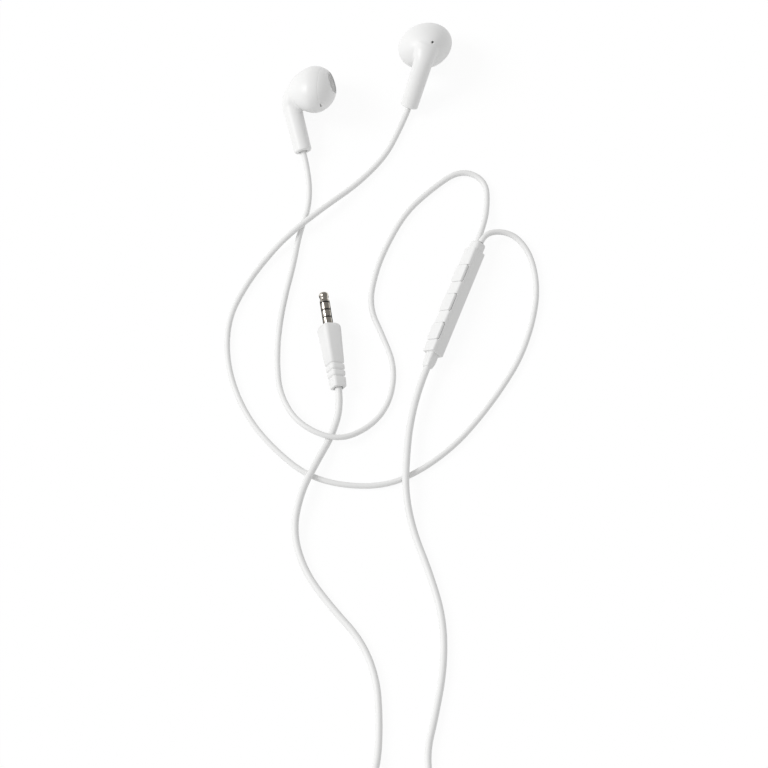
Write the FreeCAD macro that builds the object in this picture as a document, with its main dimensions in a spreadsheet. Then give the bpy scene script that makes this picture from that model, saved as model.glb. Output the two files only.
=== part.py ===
import FreeCAD, Part
import math
import os
import Sketcher

os.makedirs("parts", exist_ok=True)
doc = FreeCAD.newDocument("earphones")
Vector = FreeCAD.Vector

# Driving sizes, in mm and degrees
SIZES = {
    # Shift from the layout's own zero to the middle of the earbuds and remote
    "table_x": -0.575,
    "table_y": -0.75,
    # Earbud head: an egg whose section is an oval set askew to the stem
    "head_long": 9.9,
    "head_short": 8.1,
    "head_askew": 52,
    "head_back": 9.9,
    "head_front": 7.85,
    "seam": 3.4,
    "nozzle_reach": 6.82,
    "nozzle_rise": 14.5,
    # Stem
    "stem_lean": 13.5,
    "stem_end_x": -4.26,
    "stem_end_z": -22.1,
    "stem_length": 16.8,
    "stem_end_radius": 3.05,
    "stem_top_radius": 3.35,
    "stem_edge": 0.35,
    "stem_bore": 1.6,
    "stem_bore_depth": 17.5,
    # Hollow of the rear shell
    "driver_recess": 6.6,
    "recess_depth": 1.4,
    "chamber_radius": 5.95,
    "chamber_end": -3.0,
    "pocket_radius": 3.5,
    "pocket_end": -6.6,
    "channel_radius": 1.1,
    "channel_reach": 5.2,
    "channel_setback": 0.5,
    "channel_entry": 1.2,
    "pinhole_radius": 0.42,
    "pinhole_y": -1.16,
    "pinhole_z": 2.12,
    # Hollow of the front shell
    "front_chamber": 6.15,
    "front_chamber_depth": 1.0,
    "throat_radius": 4.9,
    "throat_depth": 2.2,
    "mouth_depth": 2.6,
    "grille_long": 4.75,
    "grille_short": 3.9,
    "grille_seat": 0.6,
    "grille_ledge": 0.5,
    "vent_length": 1.5,
    "vent_width": 0.4,
    "vent_depth": 1.6,
    "vent_sink": 1.2,
    "vent_angle": -124.0,
    # Fits
    "slip": 0.03,
    "overcut": 1.0,
    # Driver
    "basket_cup": 5.8,
    "basket_depth": 2.0,
    "basket_mouth": 5.2,
    "basket_floor": 0.6,
    "diaphragm_radius": 5.9,
    "diaphragm_seat": 0.6,
    "diaphragm_thickness": 0.2,
    "yoke_radius": 4.4,
    "yoke_length": 3.0,
    "yoke_lip": 4.9,
    "yoke_wall": 0.6,
    "magnet_radius": 3.05,
    "magnet_length": 1.4,
    "plate_length": 0.7,
    "coil_inner": 3.2,
    "coil_outer": 3.6,
    "coil_length": 1.5,
    "mesh_radius": 0.9,
    "mesh_thickness": 0.2,
    # Cord bush and lead wires in the stem
    "bush_set": 0.8,
    "bush_length": 3.2,
    "lead_radius": 0.45,
    "lead_drop": 1.5,
    "lead_end": 2.0,
    # Grille holes
    "grille_thickness": 0.4,
    "hole_radius": 0.55,
    "hole_pitch": 1.75,
    "hole_field": 3.15,
    # Remote
    "remote_length": 42.5,
    "remote_width": 5.6,
    "remote_corner": 0.75,
    "remote_wall": 0.8,
    "lid_thickness": 1.6,
    "button_length": 7.0,
    "button_raise": 0.35,
    "button_bevel": 0.36,
    "button_inset": 0.05,
    "button_pitch": 11.95,
    "button_shift": -1.4,
    "button_gap": 0.08,
    "button_flange": 0.45,
    "flange_thickness": 0.5,
    "button_travel": 0.2,
    "plunger_radius": 0.6,
    "board_thickness": 0.6,
    "board_end_gap": 1.45,
    "board_width": 3.6,
    "board_notch": 0.9,
    "switch_side": 2.8,
    "switch_height": 0.7,
    "switch_dome": 0.9,
    "dome_height": 0.25,
    "microphone_side": 2.0,
    "microphone_height": 0.7,
    "microphone_inset": 0.2,
    "port_radius": 0.35,
    "fork_length": 3.5,
    "fork_width": 4.6,
    "fork_corner": 1.3,
    "fork_spread": 1.1,
    "relief_length": 5.5,
    "relief_straight": 3.3,
    "relief_radius": 2.25,
    "relief_end_radius": 1.75,
    # Plug
    "pin_radius": 1.75,
    "pin_length": 12.6,
    "tip_start": 8.7,
    "band_width": 0.5,
    "first_band": 2.6,
    "second_band": 5.4,
    "tip_waist": 1.25,
    "tip_shoulder": 1.7,
    "tip_nose": 1.57,
    "tip_end": 1.0,
    "core_radius": 1.0,
    "rod_radius": 0.55,
    "plug_radius": 4.15,
    "plug_tail_radius": 2.9,
    "plug_length": 24.0,
    "plug_twist": 27.3,
    "shoulder": 1.6,
    "shoulder_drop": 1.04,
    "shoulder_ease": 0.32,
    "shoulder_step": 0.56,
    "inner_radius": 2.4,
    "inner_length": 14.0,
    "sleeve_root": 5.6,
    "root_radius": 1.45,
    "pin_setback": 0.1,
    "core_root": 7.0,
    "slot_start": 14.9,
    "slot_depth": 0.7,
    "slot_width": 0.9,
    "slot_pitch": 2.4,
    "tail_bore": 1.75,
    "tail_bore_depth": 2.0,
    # Cords
    "branch_radius": 1.0,
    "main_radius": 1.25,
    # Hank of the put-away stretch
    "hank_run": 50.0,
    "hank_inner": 7.5,
    "hank_step": 3.1,
    "hank_waist": 1.75,
    "hank_waist_step": 3.2,
    "hank_layer": 3.0,
    "hank_bend": 6.0,
    "hank_lead": 12.0,
    "tie_width": 7.0,
    "tie_thickness": 0.6,
    "tie_gap": 0.15,
}

sheet = doc.addObject("Spreadsheet::Sheet", "sizes")
for row, (word, value) in enumerate(SIZES.items(), start=1):
    sheet.set(f"A{row}", word)
    sheet.set(f"B{row}", str(value))
    sheet.setAlias(f"B{row}", word)
doc.recompute()


class Size:
    """A length known both as a number and as words that the sheet reads."""

    def __init__(self, number, words):
        self.number = number
        self.words = words

    def joined(self, other, sign, number):
        words = other.words if isinstance(other, Size) else repr(float(other))
        return Size(number, f"({self.words} {sign} {words})")

    def __add__(self, other):
        return self.joined(other, "+", self.number + plain(other))

    def __sub__(self, other):
        return self.joined(other, "-", self.number - plain(other))

    def __mul__(self, other):
        return self.joined(other, "*", self.number * plain(other))

    def __truediv__(self, other):
        return self.joined(other, "/", self.number / plain(other))

    def __neg__(self):
        return Size(-self.number, f"(-1 * {self.words})")


def plain(value):
    return value.number if isinstance(value, Size) else float(value)


def size(word):
    return Size(SIZES[word], "sizes." + word)


ZERO = Size(0.0, "0")


# Helpers for pieces drawn as outlines
def origin_plane(body, role):
    for feature in body.Origin.OriginFeatures:
        if feature.Role == role:
            return feature
    raise ValueError(role)


def draw_outline(body, name, role, points):
    """Draw a closed outline on a plane of the body, each corner tied to the sheet."""
    sketch = body.newObject("Sketcher::SketchObject", name)
    sketch.AttachmentSupport = [(origin_plane(body, role), "")]
    sketch.MapMode = "FlatFace"
    places = [Vector(plain(across), plain(up), 0) for across, up in points]
    for start, end in zip(places, places[1:] + places[:1]):
        sketch.addGeometry(Part.LineSegment(start, end), False)
    count = len(places)
    for side in range(count):
        sketch.addConstraint(Sketcher.Constraint("Coincident", side, 2, (side + 1) % count, 1))
    for side, (across, up) in enumerate(points):
        tie_corner(sketch, side, "DistanceX", -2, across)
        tie_corner(sketch, side, "DistanceY", -1, up)
    return sketch


def tie_corner(sketch, side, kind, axis, value):
    if plain(value) == 0.0:
        sketch.addConstraint(Sketcher.Constraint("PointOnObject", side, 1, axis))
        return
    number = sketch.addConstraint(Sketcher.Constraint(kind, -1, 1, side, 1, plain(value)))
    if isinstance(value, Size):
        sketch.setExpression(f"Constraints[{number}]", value.words)


def new_body(name):
    body = doc.addObject("PartDesign::Body", name)
    body.Label = name
    return body


def turned(name, points):
    """A piece turned about its own X axis from an outline of (along, radius)."""
    body = new_body(name)
    sketch = draw_outline(body, name + "_outline", "XY_Plane", points)
    turn = body.newObject("PartDesign::Revolution", name + "_turn")
    turn.Profile = sketch
    turn.ReferenceAxis = (sketch, ["H_Axis"])
    turn.Angle = 360
    body.Tip = turn
    return body


def tie_place(feature, place):
    """Put a piece at a place whose sizes stay tied to the sheet."""
    base = Vector(*[plain(value) for value in place])
    feature.Placement = FreeCAD.Placement(base, feature.Placement.Rotation)
    for axis, value in zip("xyz", place):
        if isinstance(value, Size):
            feature.setExpression(f"Placement.Base.{axis}", value.words)


def add_plate(body, name, points, low, high):
    """Add a plate drawn from above, from one height to another."""
    sketch = draw_outline(body, name + "_outline", "XY_Plane", points)
    sketch.setExpression("AttachmentOffset.Base.z", low.words)
    pad = body.newObject("PartDesign::Pad", name)
    pad.Profile = sketch
    pad.Length = plain(high - low)
    pad.setExpression("Length", (high - low).words)
    body.Tip = pad
    return pad


def add_block(body, name, kind, place, sides):
    """Add or take away a box given by its low corner and its three sides."""
    block = body.newObject(f"PartDesign::{kind}Box", name)
    for word, value in zip(("Length", "Width", "Height"), sides):
        setattr(block, word, plain(value))
        if isinstance(value, Size):
            block.setExpression(word, value.words)
    tie_place(block, place)
    body.Tip = block
    return block


def add_round(body, name, kind, place, radius, height, turn=None):
    """Add or take away a cylinder that stands on its place."""
    drum = body.newObject(f"PartDesign::{kind}Cylinder", name)
    for word, value in (("Radius", radius), ("Height", height)):
        setattr(drum, word, plain(value))
        if isinstance(value, Size):
            drum.setExpression(word, value.words)
    if turn is not None:
        drum.Placement = FreeCAD.Placement(Vector(0, 0, 0), turn)
    tie_place(drum, place)
    body.Tip = drum
    return drum


ALONG_X = FreeCAD.Rotation(Vector(0, 1, 0), 90)
DRUM_SIDES = 24


def add_drum(body, name, kind, start, end, radius):
    """Add or take away a round step of many flats between two places along X."""
    drum = body.newObject(f"PartDesign::{kind}Prism", name)
    drum.Polygon = DRUM_SIDES
    for word, value in (("Circumradius", radius), ("Height", end - start)):
        setattr(drum, word, plain(value))
        drum.setExpression(word, value.words)
    drum.Placement = FreeCAD.Placement(Vector(0, 0, 0), ALONG_X)
    tie_place(drum, (start, ZERO, ZERO))
    body.Tip = drum
    return drum


def drum_tool(name, radius, start, end):
    """A many-sided drum along X that a boolean uses."""
    drum = doc.addObject("Part::Prism", name)
    drum.Polygon = DRUM_SIDES
    drum.Placement = FreeCAD.Placement(Vector(0, 0, 0), ALONG_X)
    for word, value in (("Circumradius", radius), ("Height", end - start)):
        setattr(drum, word, plain(value))
        drum.setExpression(word, value.words)
    tie_place(drum, (start, ZERO, ZERO))
    return drum


def cylinder_tool(name, radius, length, start, rotation=ALONG_X):
    """A plain cylinder that a boolean uses, along X unless turned."""
    drum = doc.addObject("Part::Cylinder", name)
    drum.Placement = FreeCAD.Placement(Vector(0, 0, 0), rotation)
    for word, value in (("Radius", radius), ("Height", length)):
        setattr(drum, word, plain(value))
        if isinstance(value, Size):
            drum.setExpression(word, value.words)
    tie_place(drum, start)
    return drum


def kept_shape(name, shape):
    feature = doc.addObject("Part::Feature", name)
    feature.Shape = shape
    return feature


def cut_away(name, base, tools):
    """Cut a group of tools out of a base."""
    group = doc.addObject("Part::MultiFuse", name + "_hollow")
    group.Shapes = tools
    cut = doc.addObject("Part::Cut", name)
    cut.Base = base
    cut.Tool = group
    cut.Label = name
    return cut


# Sizes that the freely shaped pieces read
SEAM = SIZES["seam"]
LEAN = math.radians(SIZES["stem_lean"])
STEM_UP = Vector(-math.sin(LEAN), 0, math.cos(LEAN))
STEM_END = Vector(SIZES["stem_end_x"], 0, SIZES["stem_end_z"])
RISE = math.radians(SIZES["nozzle_rise"])
NOZZLE = Vector(math.cos(RISE), 0, math.sin(RISE))
BEND_POINT = STEM_END + STEM_UP * (SIZES["stem_bore_depth"] - SIZES["channel_setback"])
SIDES = 32


# Skins of the earbud, made of flat facets between like-shaped rings
def skin_of_rings(rings):
    """A closed solid through rings of equally many points, with flat ends."""
    faces = [Part.Face(Part.makePolygon(rings[0] + rings[0][:1]))]
    for near, far in zip(rings, rings[1:]):
        count = len(near)
        for k in range(count):
            after = (k + 1) % count
            corners = [near[k], near[after], far[after], far[k], near[k]]
            faces.append(Part.Face(Part.makePolygon(corners)))
    faces.append(Part.Face(Part.makePolygon(rings[-1] + rings[-1][:1])))
    solid = Part.Solid(Part.Shell(faces))
    if solid.Volume < 0:
        solid.reverse()
    return solid


ROUND_SIDES = 28


def ring_across_x(x, radius):
    ring = []
    for k in range(ROUND_SIDES):
        turn = 2 * math.pi * (k + 0.5) / ROUND_SIDES
        ring.append(Vector(x, radius * math.cos(turn), radius * math.sin(turn)))
    return ring


def round_skin(stations):
    """A round solid along X through (place, radius) stations."""
    return skin_of_rings([ring_across_x(x, radius) for x, radius in stations])


def oval(centre, long_way, short_way, share):
    ring = []
    for k in range(SIDES):
        turn = 2 * math.pi * k / SIDES
        ring.append(centre + long_way * (share * math.cos(turn)) + short_way * (share * math.sin(turn)))
    return ring


def head_ring(x, side):
    """The head's oval at a distance x along it; side is 1 right or -1 left."""
    reach = SIZES["head_front"] if x > 0 else SIZES["head_back"]
    share = math.sqrt(1 - (x / reach) ** 2)
    askew = math.radians(SIZES["head_askew"])
    long_way = Vector(0, -side * math.sin(askew), math.cos(askew)) * SIZES["head_long"]
    short_way = Vector(0, side * math.cos(askew), math.sin(askew)) * SIZES["head_short"]
    return oval(Vector(x, 0, 0), long_way, short_way, share)


REAR_TURNS = (84, 66, 50, 34, 17, 0)
FRONT_TURNS = (40, 54, 70)
STEM_SIDES = 24
# Elbow of the stem: distance past its top, shift forward and radius, until it is inside the head
ELBOW = ((2.5, 0.85, 3.8), (4.8, 2.2, 4.1), (6.6, 3.7, 4.2), (8.2, 5.2, 3.6))


def rear_skin(side):
    turns = [math.radians(turn) for turn in REAR_TURNS]
    stations = [-SIZES["head_back"] * math.sin(turn) for turn in turns] + [SEAM]
    return skin_of_rings([head_ring(x, side) for x in stations])


def stem_skin():
    """The stem, whose top bends forward into the head and widens."""
    across = Vector(0, 1, 0)
    forward = across.cross(STEM_UP)
    length = SIZES["stem_length"]
    edge = SIZES["stem_edge"]
    stations = [(0, 0, SIZES["stem_end_radius"] - edge), (edge, 0, SIZES["stem_end_radius"]),
                (length, 0, SIZES["stem_top_radius"])]
    stations += [(length + past, shift, radius) for past, shift, radius in ELBOW]
    rings = []
    for along, shift, radius in stations:
        middle = STEM_END + STEM_UP * along + forward * shift
        ring = []
        for k in range(STEM_SIDES):
            turn = 2 * math.pi * (k + 0.5) / STEM_SIDES
            ring.append(middle + (across * math.cos(turn) + forward * math.sin(turn)) * radius)
        rings.append(ring)
    return skin_of_rings(rings)


def front_skin(side):
    turns = [math.radians(turn) for turn in FRONT_TURNS]
    stations = [SEAM] + [SIZES["head_front"] * math.sin(turn) for turn in turns]
    skin = skin_of_rings([head_ring(x, side) for x in stations])
    reach = SIZES["nozzle_reach"]
    width = 4 * SIZES["head_long"]
    slab = Part.makeBox(width, width, width, Vector(-width / 2, -width / 2, reach))
    slab.rotate(Vector(0, 0, 0), Vector(0, 1, 0), 90 - SIZES["nozzle_rise"])
    return skin.cut(slab)


def grille_prism(side, share, start, end):
    """A prism with the grille's oval, along the nozzle between two reaches."""
    askew = math.radians(SIZES["head_askew"])
    up = Vector(-math.sin(RISE), 0, math.cos(RISE))
    out = Vector(0, 1, 0)
    long_way = (up * math.cos(askew) - out * (side * math.sin(askew))) * SIZES["grille_long"]
    short_way = (up * math.sin(askew) + out * (side * math.cos(askew))) * SIZES["grille_short"]
    middle = NOZZLE_MIDDLE
    low = oval(middle + NOZZLE * (start - SIZES["nozzle_reach"]), long_way, short_way, share)
    high = oval(middle + NOZZLE * (end - SIZES["nozzle_reach"]), long_way, short_way, share)
    return skin_of_rings([low, high])


def nozzle_middle():
    """Middle of the nozzle's face, found on the front shell's skin."""
    faces = front_skin(1).Faces
    face = max(faces, key=lambda item: item.CenterOfMass.dot(NOZZLE) + item.Area * 0.01)
    return Vector(face.CenterOfMass.x, 0, face.CenterOfMass.z)


NOZZLE_MIDDLE = nozzle_middle()
REACH = SIZES["nozzle_reach"]
OVERCUT = SIZES["overcut"]
HOLE_ROWS = 2


def leads_path():
    """Lead wires from the bush up the stem and forward to the yoke."""
    start = STEM_END + STEM_UP * (SIZES["bush_set"] + SIZES["bush_length"])
    yoke_back = plain(YOKE_BACK)
    drop = -SIZES["lead_drop"]
    return [start, BEND_POINT, Vector(yoke_back - SIZES["lead_end"], 0, drop), Vector(yoke_back, 0, drop)]


# Tubes along straight runs joined by tangent arcs
def rounded_path(points, share=0.45, bend=None, radii=None):
    """Edges of straight runs with an arc at each inner point."""
    edges = []
    last = points[0]
    for before, corner, after in zip(points, points[1:], points[2:]):
        back = before - corner
        ahead = after - corner
        turn = math.pi - back.getAngle(ahead)
        reach = share * min(back.Length, ahead.Length)
        radius = reach / math.tan(turn / 2)
        if bend is not None and bend < radius:
            radius = bend
            reach = radius * math.tan(turn / 2)
        back.normalize()
        ahead.normalize()
        start = corner + back * reach
        end = corner + ahead * reach
        inward = (back + ahead).normalize()
        middle = corner + inward * (radius / math.cos(turn / 2) - radius)
        edges.append(Part.LineSegment(last, start).toShape())
        edges.append(Part.Arc(start, middle, end).toShape())
        last = end
        if radii is not None:
            radii.append(radius)
    edges.append(Part.LineSegment(last, points[-1]).toShape())
    return Part.Wire(edges)


CORD_SIDES = 5
HANK_SIDES = 4


def tube_along(path, radius, sides=CORD_SIDES):
    """A tube of flat sides whose corners lie on the cord's round skin."""
    first = path.OrderedEdges[0]
    start = first.valueAt(first.FirstParameter)
    along = first.tangentAt(first.FirstParameter)
    level = along.cross(Vector(0, 0, 1)).normalize()
    upright = level.cross(along).normalize()
    ring = []
    for k in range(sides):
        turn = 2 * math.pi * (k + 0.25) / sides
        ring.append(start + (level * math.cos(turn) + upright * math.sin(turn)) * radius)
    ring.append(ring[0])
    return path.makePipeShell([Part.makePolygon(ring)], True, False)


def cord(name, points, radius, bend=None):
    radii = []
    path = rounded_path(points, bend=bend, radii=radii)
    solid = tube_along(path, radius)
    section = CORD_SIDES / 2 * math.sin(2 * math.pi / CORD_SIDES) * radius ** 2
    share = solid.Volume / (section * path.Length)
    print(name, "length", round(path.Length, 1), "least radius", round(min(radii), 1),
          "volume over section by length", round(share, 4))
    feature = kept_shape(name, solid)
    feature.Label = name
    return feature


# Poses: where each group of pieces lies on the table
def pose(origin, forward, up):
    side = up.cross(forward)
    turn = FreeCAD.Rotation(forward, side, up, "ZXY")
    return FreeCAD.Placement(origin, turn)


def bud_directions(heading, slope, roll):
    heading, slope, roll = (math.radians(angle) for angle in (heading, slope, roll))
    up = Vector(math.sin(heading) * math.cos(slope), math.cos(heading) * math.cos(slope), math.sin(slope))
    level = Vector(math.cos(heading), -math.sin(heading), 0)
    lifted = level.cross(up)
    return level * math.cos(roll) + lifted * math.sin(roll), up


TABLE = Vector(SIZES["table_x"], SIZES["table_y"], 0)

# Each side: label, hand, place of the head's middle, heading, slope and roll
BUDS = (
    ("left", -1, Vector(-24.0, 40.8, 0), -0.8, 13.2, 16.0),
    ("right", 1, Vector(15.1, 58.4, 0), 17.9, 25.2, -104.0),
)

LEDGE = size("seam") - size("recess_depth")
YOKE_BACK = LEDGE - size("basket_depth") + size("basket_floor") - size("yoke_length")
PAST = size("overcut")

nodes = []


def finish_node(feature, label, place):
    feature.Label = label
    feature.Placement = place
    nodes.append(feature)


# Earbuds
bud_poses = {}
for word, side, middle, heading, slope, roll in BUDS:
    rear_outer = kept_shape(word + "_rear_skin", rear_skin(side))
    stem_outer = kept_shape(word + "_stem_skin", stem_skin())
    rear_blank = doc.addObject("Part::Fuse", word + "_rear_blank")
    rear_blank.Base = rear_outer
    rear_blank.Tool = stem_outer

    bore_turn = FreeCAD.Rotation(Vector(0, 0, 1), STEM_UP)
    bore = cylinder_tool(word + "_stem_bore", size("stem_bore"), size("stem_bore_depth"),
                         (size("stem_end_x"), ZERO, size("stem_end_z")), bore_turn)
    recess = drum_tool(word + "_recess", size("driver_recess"), LEDGE, size("seam"))
    chamber = drum_tool(word + "_chamber", size("chamber_radius"), size("chamber_end"), size("seam"))
    pocket = drum_tool(word + "_pocket", size("pocket_radius"), size("pocket_end"), size("chamber_end") + PAST)
    entry = SIZES["channel_entry"]
    channel_aim = Vector(SIZES["pocket_end"] + entry, 0, -entry) - BEND_POINT
    channel = cylinder_tool(word + "_channel", size("channel_radius"), size("channel_reach"),
                            tuple(BEND_POINT), FreeCAD.Rotation(Vector(0, 0, 1), channel_aim))
    pinhole_length = size("head_back") + size("pocket_end") + PAST
    pinhole = cylinder_tool(word + "_pinhole", size("pinhole_radius"), pinhole_length,
                            (-size("head_back"), size("pinhole_y") * side, size("pinhole_z")))
    rear = cut_away(word + "_rear_shell", rear_blank, [bore, recess, chamber, pocket, channel, pinhole])

    front_blank = kept_shape(word + "_front_skin", front_skin(side))
    bowl = drum_tool(word + "_front_bowl", size("front_chamber"), size("seam"),
                     size("seam") + size("front_chamber_depth"))
    throat_end = size("seam") + size("throat_depth")
    throat = drum_tool(word + "_throat", size("throat_radius"), size("seam"), throat_end)
    seat_prism = grille_prism(side, 1.0, REACH - SIZES["grille_seat"], REACH + OVERCUT)
    seat = kept_shape(word + "_grille_seat", seat_prism)
    inner_share = 1 - SIZES["grille_ledge"] / SIZES["grille_short"]
    mouth_prism = grille_prism(side, inner_share, REACH - SIZES["mouth_depth"], REACH + OVERCUT)
    mouth = kept_shape(word + "_mouth", mouth_prism)
    slot = doc.addObject("Part::Box", word + "_seam_vent")
    slot.setExpression("Length", "sizes.vent_width")
    slot.setExpression("Width", "sizes.vent_length")
    slot.setExpression("Height", "sizes.vent_depth")
    angle = math.radians(SIZES["vent_angle"])
    outward = Vector(0, -side * math.cos(angle), math.sin(angle))
    ring = head_ring(SEAM, side)
    rim = max(ring, key=lambda point: point.dot(outward))
    turn = FreeCAD.Rotation(Vector(1, 0, 0), outward.cross(Vector(1, 0, 0)) * -1, outward, "ZXY")
    half_slot = turn.multVec(Vector(0, SIZES["vent_length"] / 2, 0))
    corner = outward * (rim.dot(outward) - SIZES["vent_sink"]) - half_slot
    slot.Placement = FreeCAD.Placement(corner + Vector(SEAM, 0, 0), turn)
    front = cut_away(word + "_front_shell", front_blank, [bowl, throat, seat, mouth, slot])

    doc.recompute()
    forward, up = bud_directions(heading, slope, roll)
    level = pose(Vector(0, 0, 0), forward, up)
    lowest = min(rear.Shape.transformed(level.toMatrix()).BoundBox.ZMin,
                 front.Shape.transformed(level.toMatrix()).BoundBox.ZMin)
    stem_low = stem_outer.Shape.transformed(level.toMatrix()).BoundBox.ZMin
    head_low = rear_outer.Shape.transformed(level.toMatrix()).BoundBox.ZMin
    print(word, "stem lowest", round(stem_low, 2), "head lowest", round(head_low, 2), "all", round(lowest, 2))
    place = pose(middle + TABLE + Vector(0, 0, -lowest), forward, up)
    bud_poses[word] = place

    finish_node(rear, word + "_rear_shell", place)
    finish_node(front, word + "_front_shell", place)

    # Grille: a plate with a hexagonal field of holes, seated in the nozzle
    grille_low = REACH - SIZES["grille_seat"]
    plate = grille_prism(side, 1 - SIZES["slip"] / SIZES["grille_short"], grille_low,
                         grille_low + SIZES["grille_thickness"])
    across = Vector(0, 1, 0)
    upward = Vector(-math.sin(RISE), 0, math.cos(RISE))
    pitch = SIZES["hole_pitch"]
    holes = []
    for row in range(-HOLE_ROWS, HOLE_ROWS + 1):
        for column in range(-HOLE_ROWS, HOLE_ROWS + 1):
            offset = across * (pitch * (column + 0.5 * (row % 2))) + upward * (pitch * row * math.sqrt(3) / 2)
            if offset.Length > SIZES["hole_field"]:
                continue
            centre = NOZZLE_MIDDLE + offset + NOZZLE * (grille_low - OVERCUT - REACH)
            ring = []
            for k in range(6):
                turn = math.radians(60 * k)
                spoke = across * math.cos(turn) + upward * math.sin(turn)
                ring.append(centre + spoke * SIZES["hole_radius"])
            hexagon = Part.Face(Part.makePolygon(ring + ring[:1]))
            holes.append(hexagon.extrude(NOZZLE * (2 * OVERCUT + SIZES["grille_thickness"])))
    grille = kept_shape(word + "_grille", plate.cut(Part.makeCompound(holes)))
    finish_node(grille, word + "_grille", place)

    # Driver, turned about the head's own axis
    cup_end = LEDGE - size("basket_depth")
    floor = cup_end + size("basket_floor")
    seat_x = size("seam") - size("diaphragm_seat")
    flange = size("driver_recess") - size("slip")
    cup_hole = size("yoke_radius") + size("slip")
    basket = new_body(word + "_driver_basket")
    add_drum(basket, word + "_basket_cup", "Additive", cup_end, LEDGE, size("basket_cup"))
    add_drum(basket, word + "_basket_flange", "Additive", LEDGE, size("seam"), flange)
    add_drum(basket, word + "_basket_mouth", "Subtractive", floor, size("seam") + PAST, size("basket_mouth"))
    add_drum(basket, word + "_basket_seat", "Subtractive", seat_x, size("seam") + PAST,
             size("diaphragm_radius") + size("slip"))
    add_drum(basket, word + "_basket_hole", "Subtractive", cup_end - PAST, floor + PAST, cup_hole)
    finish_node(basket, word + "_driver_basket", place)
    yoke_bottom = YOKE_BACK + size("yoke_wall")
    yoke_top = YOKE_BACK + size("yoke_length")
    yoke = new_body(word + "_yoke")
    add_drum(yoke, word + "_yoke_cup", "Additive", YOKE_BACK, yoke_top, size("yoke_radius"))
    add_drum(yoke, word + "_yoke_lip", "Additive", yoke_top, yoke_top + size("yoke_wall") / 2, size("yoke_lip"))
    add_drum(yoke, word + "_yoke_hollow", "Subtractive", yoke_bottom, yoke_top + PAST,
             size("yoke_radius") - size("yoke_wall"))
    finish_node(yoke, word + "_yoke", place)
    magnet_top = yoke_bottom + size("magnet_length")
    magnet = new_body(word + "_magnet")
    add_drum(magnet, word + "_magnet_disc", "Additive", yoke_bottom, magnet_top, size("magnet_radius"))
    finish_node(magnet, word + "_magnet", place)
    top_plate = new_body(word + "_top_plate")
    add_drum(top_plate, word + "_plate_disc", "Additive", magnet_top, magnet_top + size("plate_length"),
             size("magnet_radius"))
    finish_node(top_plate, word + "_top_plate", place)
    coil = new_body(word + "_voice_coil")
    coil_low = seat_x - size("coil_length")
    add_drum(coil, word + "_coil_winding", "Additive", coil_low, seat_x, size("coil_outer"))
    add_drum(coil, word + "_coil_bore", "Subtractive", coil_low - PAST, seat_x + PAST,
             size("coil_inner"))
    finish_node(coil, word + "_voice_coil", place)
    diaphragm = new_body(word + "_diaphragm")
    film_top = seat_x + size("diaphragm_thickness")
    add_drum(diaphragm, word + "_diaphragm_film", "Additive", seat_x, film_top, size("diaphragm_radius"))
    add_drum(diaphragm, word + "_diaphragm_dome", "Additive", film_top, film_top + size("diaphragm_thickness"),
             size("coil_inner"))
    finish_node(diaphragm, word + "_diaphragm", place)

    # Mesh behind the pinhole, flat on the pocket's end wall
    mesh = new_body(word + "_vent_mesh")
    add_round(mesh, word + "_mesh_disc", "Additive",
              (size("pocket_end"), size("pinhole_y") * side, size("pinhole_z")),
              size("mesh_radius"), size("mesh_thickness"), ALONG_X)
    finish_node(mesh, word + "_vent_mesh", place)

    # Bush in the stem's end, then the lead wires up to the driver
    bush = new_body(word + "_cord_bush")
    bush_start = STEM_END + STEM_UP * SIZES["bush_set"]
    add_round(bush, word + "_bush_drum", "Additive", tuple(bush_start), size("stem_bore") - size("slip"),
              size("bush_length"), bore_turn)
    finish_node(bush, word + "_cord_bush", place)
    leads = kept_shape(word + "_lead_wires", tube_along(rounded_path(leads_path()), SIZES["lead_radius"]))
    finish_node(leads, word + "_lead_wires", place)

doc.recompute()

# Remote: its own X runs from the plug's end to the fork, its own Z out of the buttons
REMOTE_ALONG = Vector(0.3515, 0.936, 0).normalize()
REMOTE_LEFT = Vector(0, 0, 1).cross(REMOTE_ALONG)
REMOTE_OUT = (REMOTE_LEFT + Vector(0, 0, 1)).normalize()
half_width = SIZES["remote_width"] / 2
remote_height = half_width * math.sqrt(2) - SIZES["remote_corner"] * (math.sqrt(2) - 1)
REMOTE_MIDDLE = Vector(25.17, -39.54, remote_height)
remote_place = pose(REMOTE_MIDDLE + TABLE, REMOTE_ALONG, REMOTE_OUT)

half = size("remote_width") / 2
half_length = size("remote_length") / 2
split = half - size("lid_thickness")
cavity = half - size("remote_wall")
cavity_length = half_length - size("remote_wall")


def round_long_edges(body, name, radius, keep):
    """Round the edges that run the piece's whole length and satisfy keep."""
    doc.recompute()
    tip = body.Tip
    names = []
    for number, edge in enumerate(tip.Shape.Edges, start=1):
        start, end = edge.Vertexes[0].Point, edge.Vertexes[-1].Point
        if abs(start.x - end.x) > 0.5 * edge.Length and keep(start):
            names.append(f"Edge{number}")
    fillet = body.newObject("PartDesign::Fillet", name)
    fillet.Base = (tip, names)
    fillet.Radius = plain(radius)
    fillet.setExpression("Radius", radius.words)
    body.Tip = fillet
    return fillet


tray = new_body("remote_back_shell")
add_block(tray, "tray_block", "Additive", (-half_length, -half, -half),
          (size("remote_length"), size("remote_width"), size("remote_width") - size("lid_thickness")))
round_long_edges(tray, "tray_edges", size("remote_corner"), lambda point: point.z < -half_width + 0.01)
add_block(tray, "tray_hollow", "Subtractive", (-cavity_length, -cavity, -cavity),
          (cavity_length * 2, cavity * 2, size("remote_width")))
board_half = cavity_length - size("board_end_gap")
microphone_half = size("microphone_side") / 2
microphone_middle = board_half - microphone_half - size("microphone_inset")
add_round(tray, "microphone_port", "Subtractive", (microphone_middle, ZERO, -half - PAST),
          size("port_radius"), size("remote_wall") + PAST * 2)
finish_node(tray, "remote_back_shell", remote_place)

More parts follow.
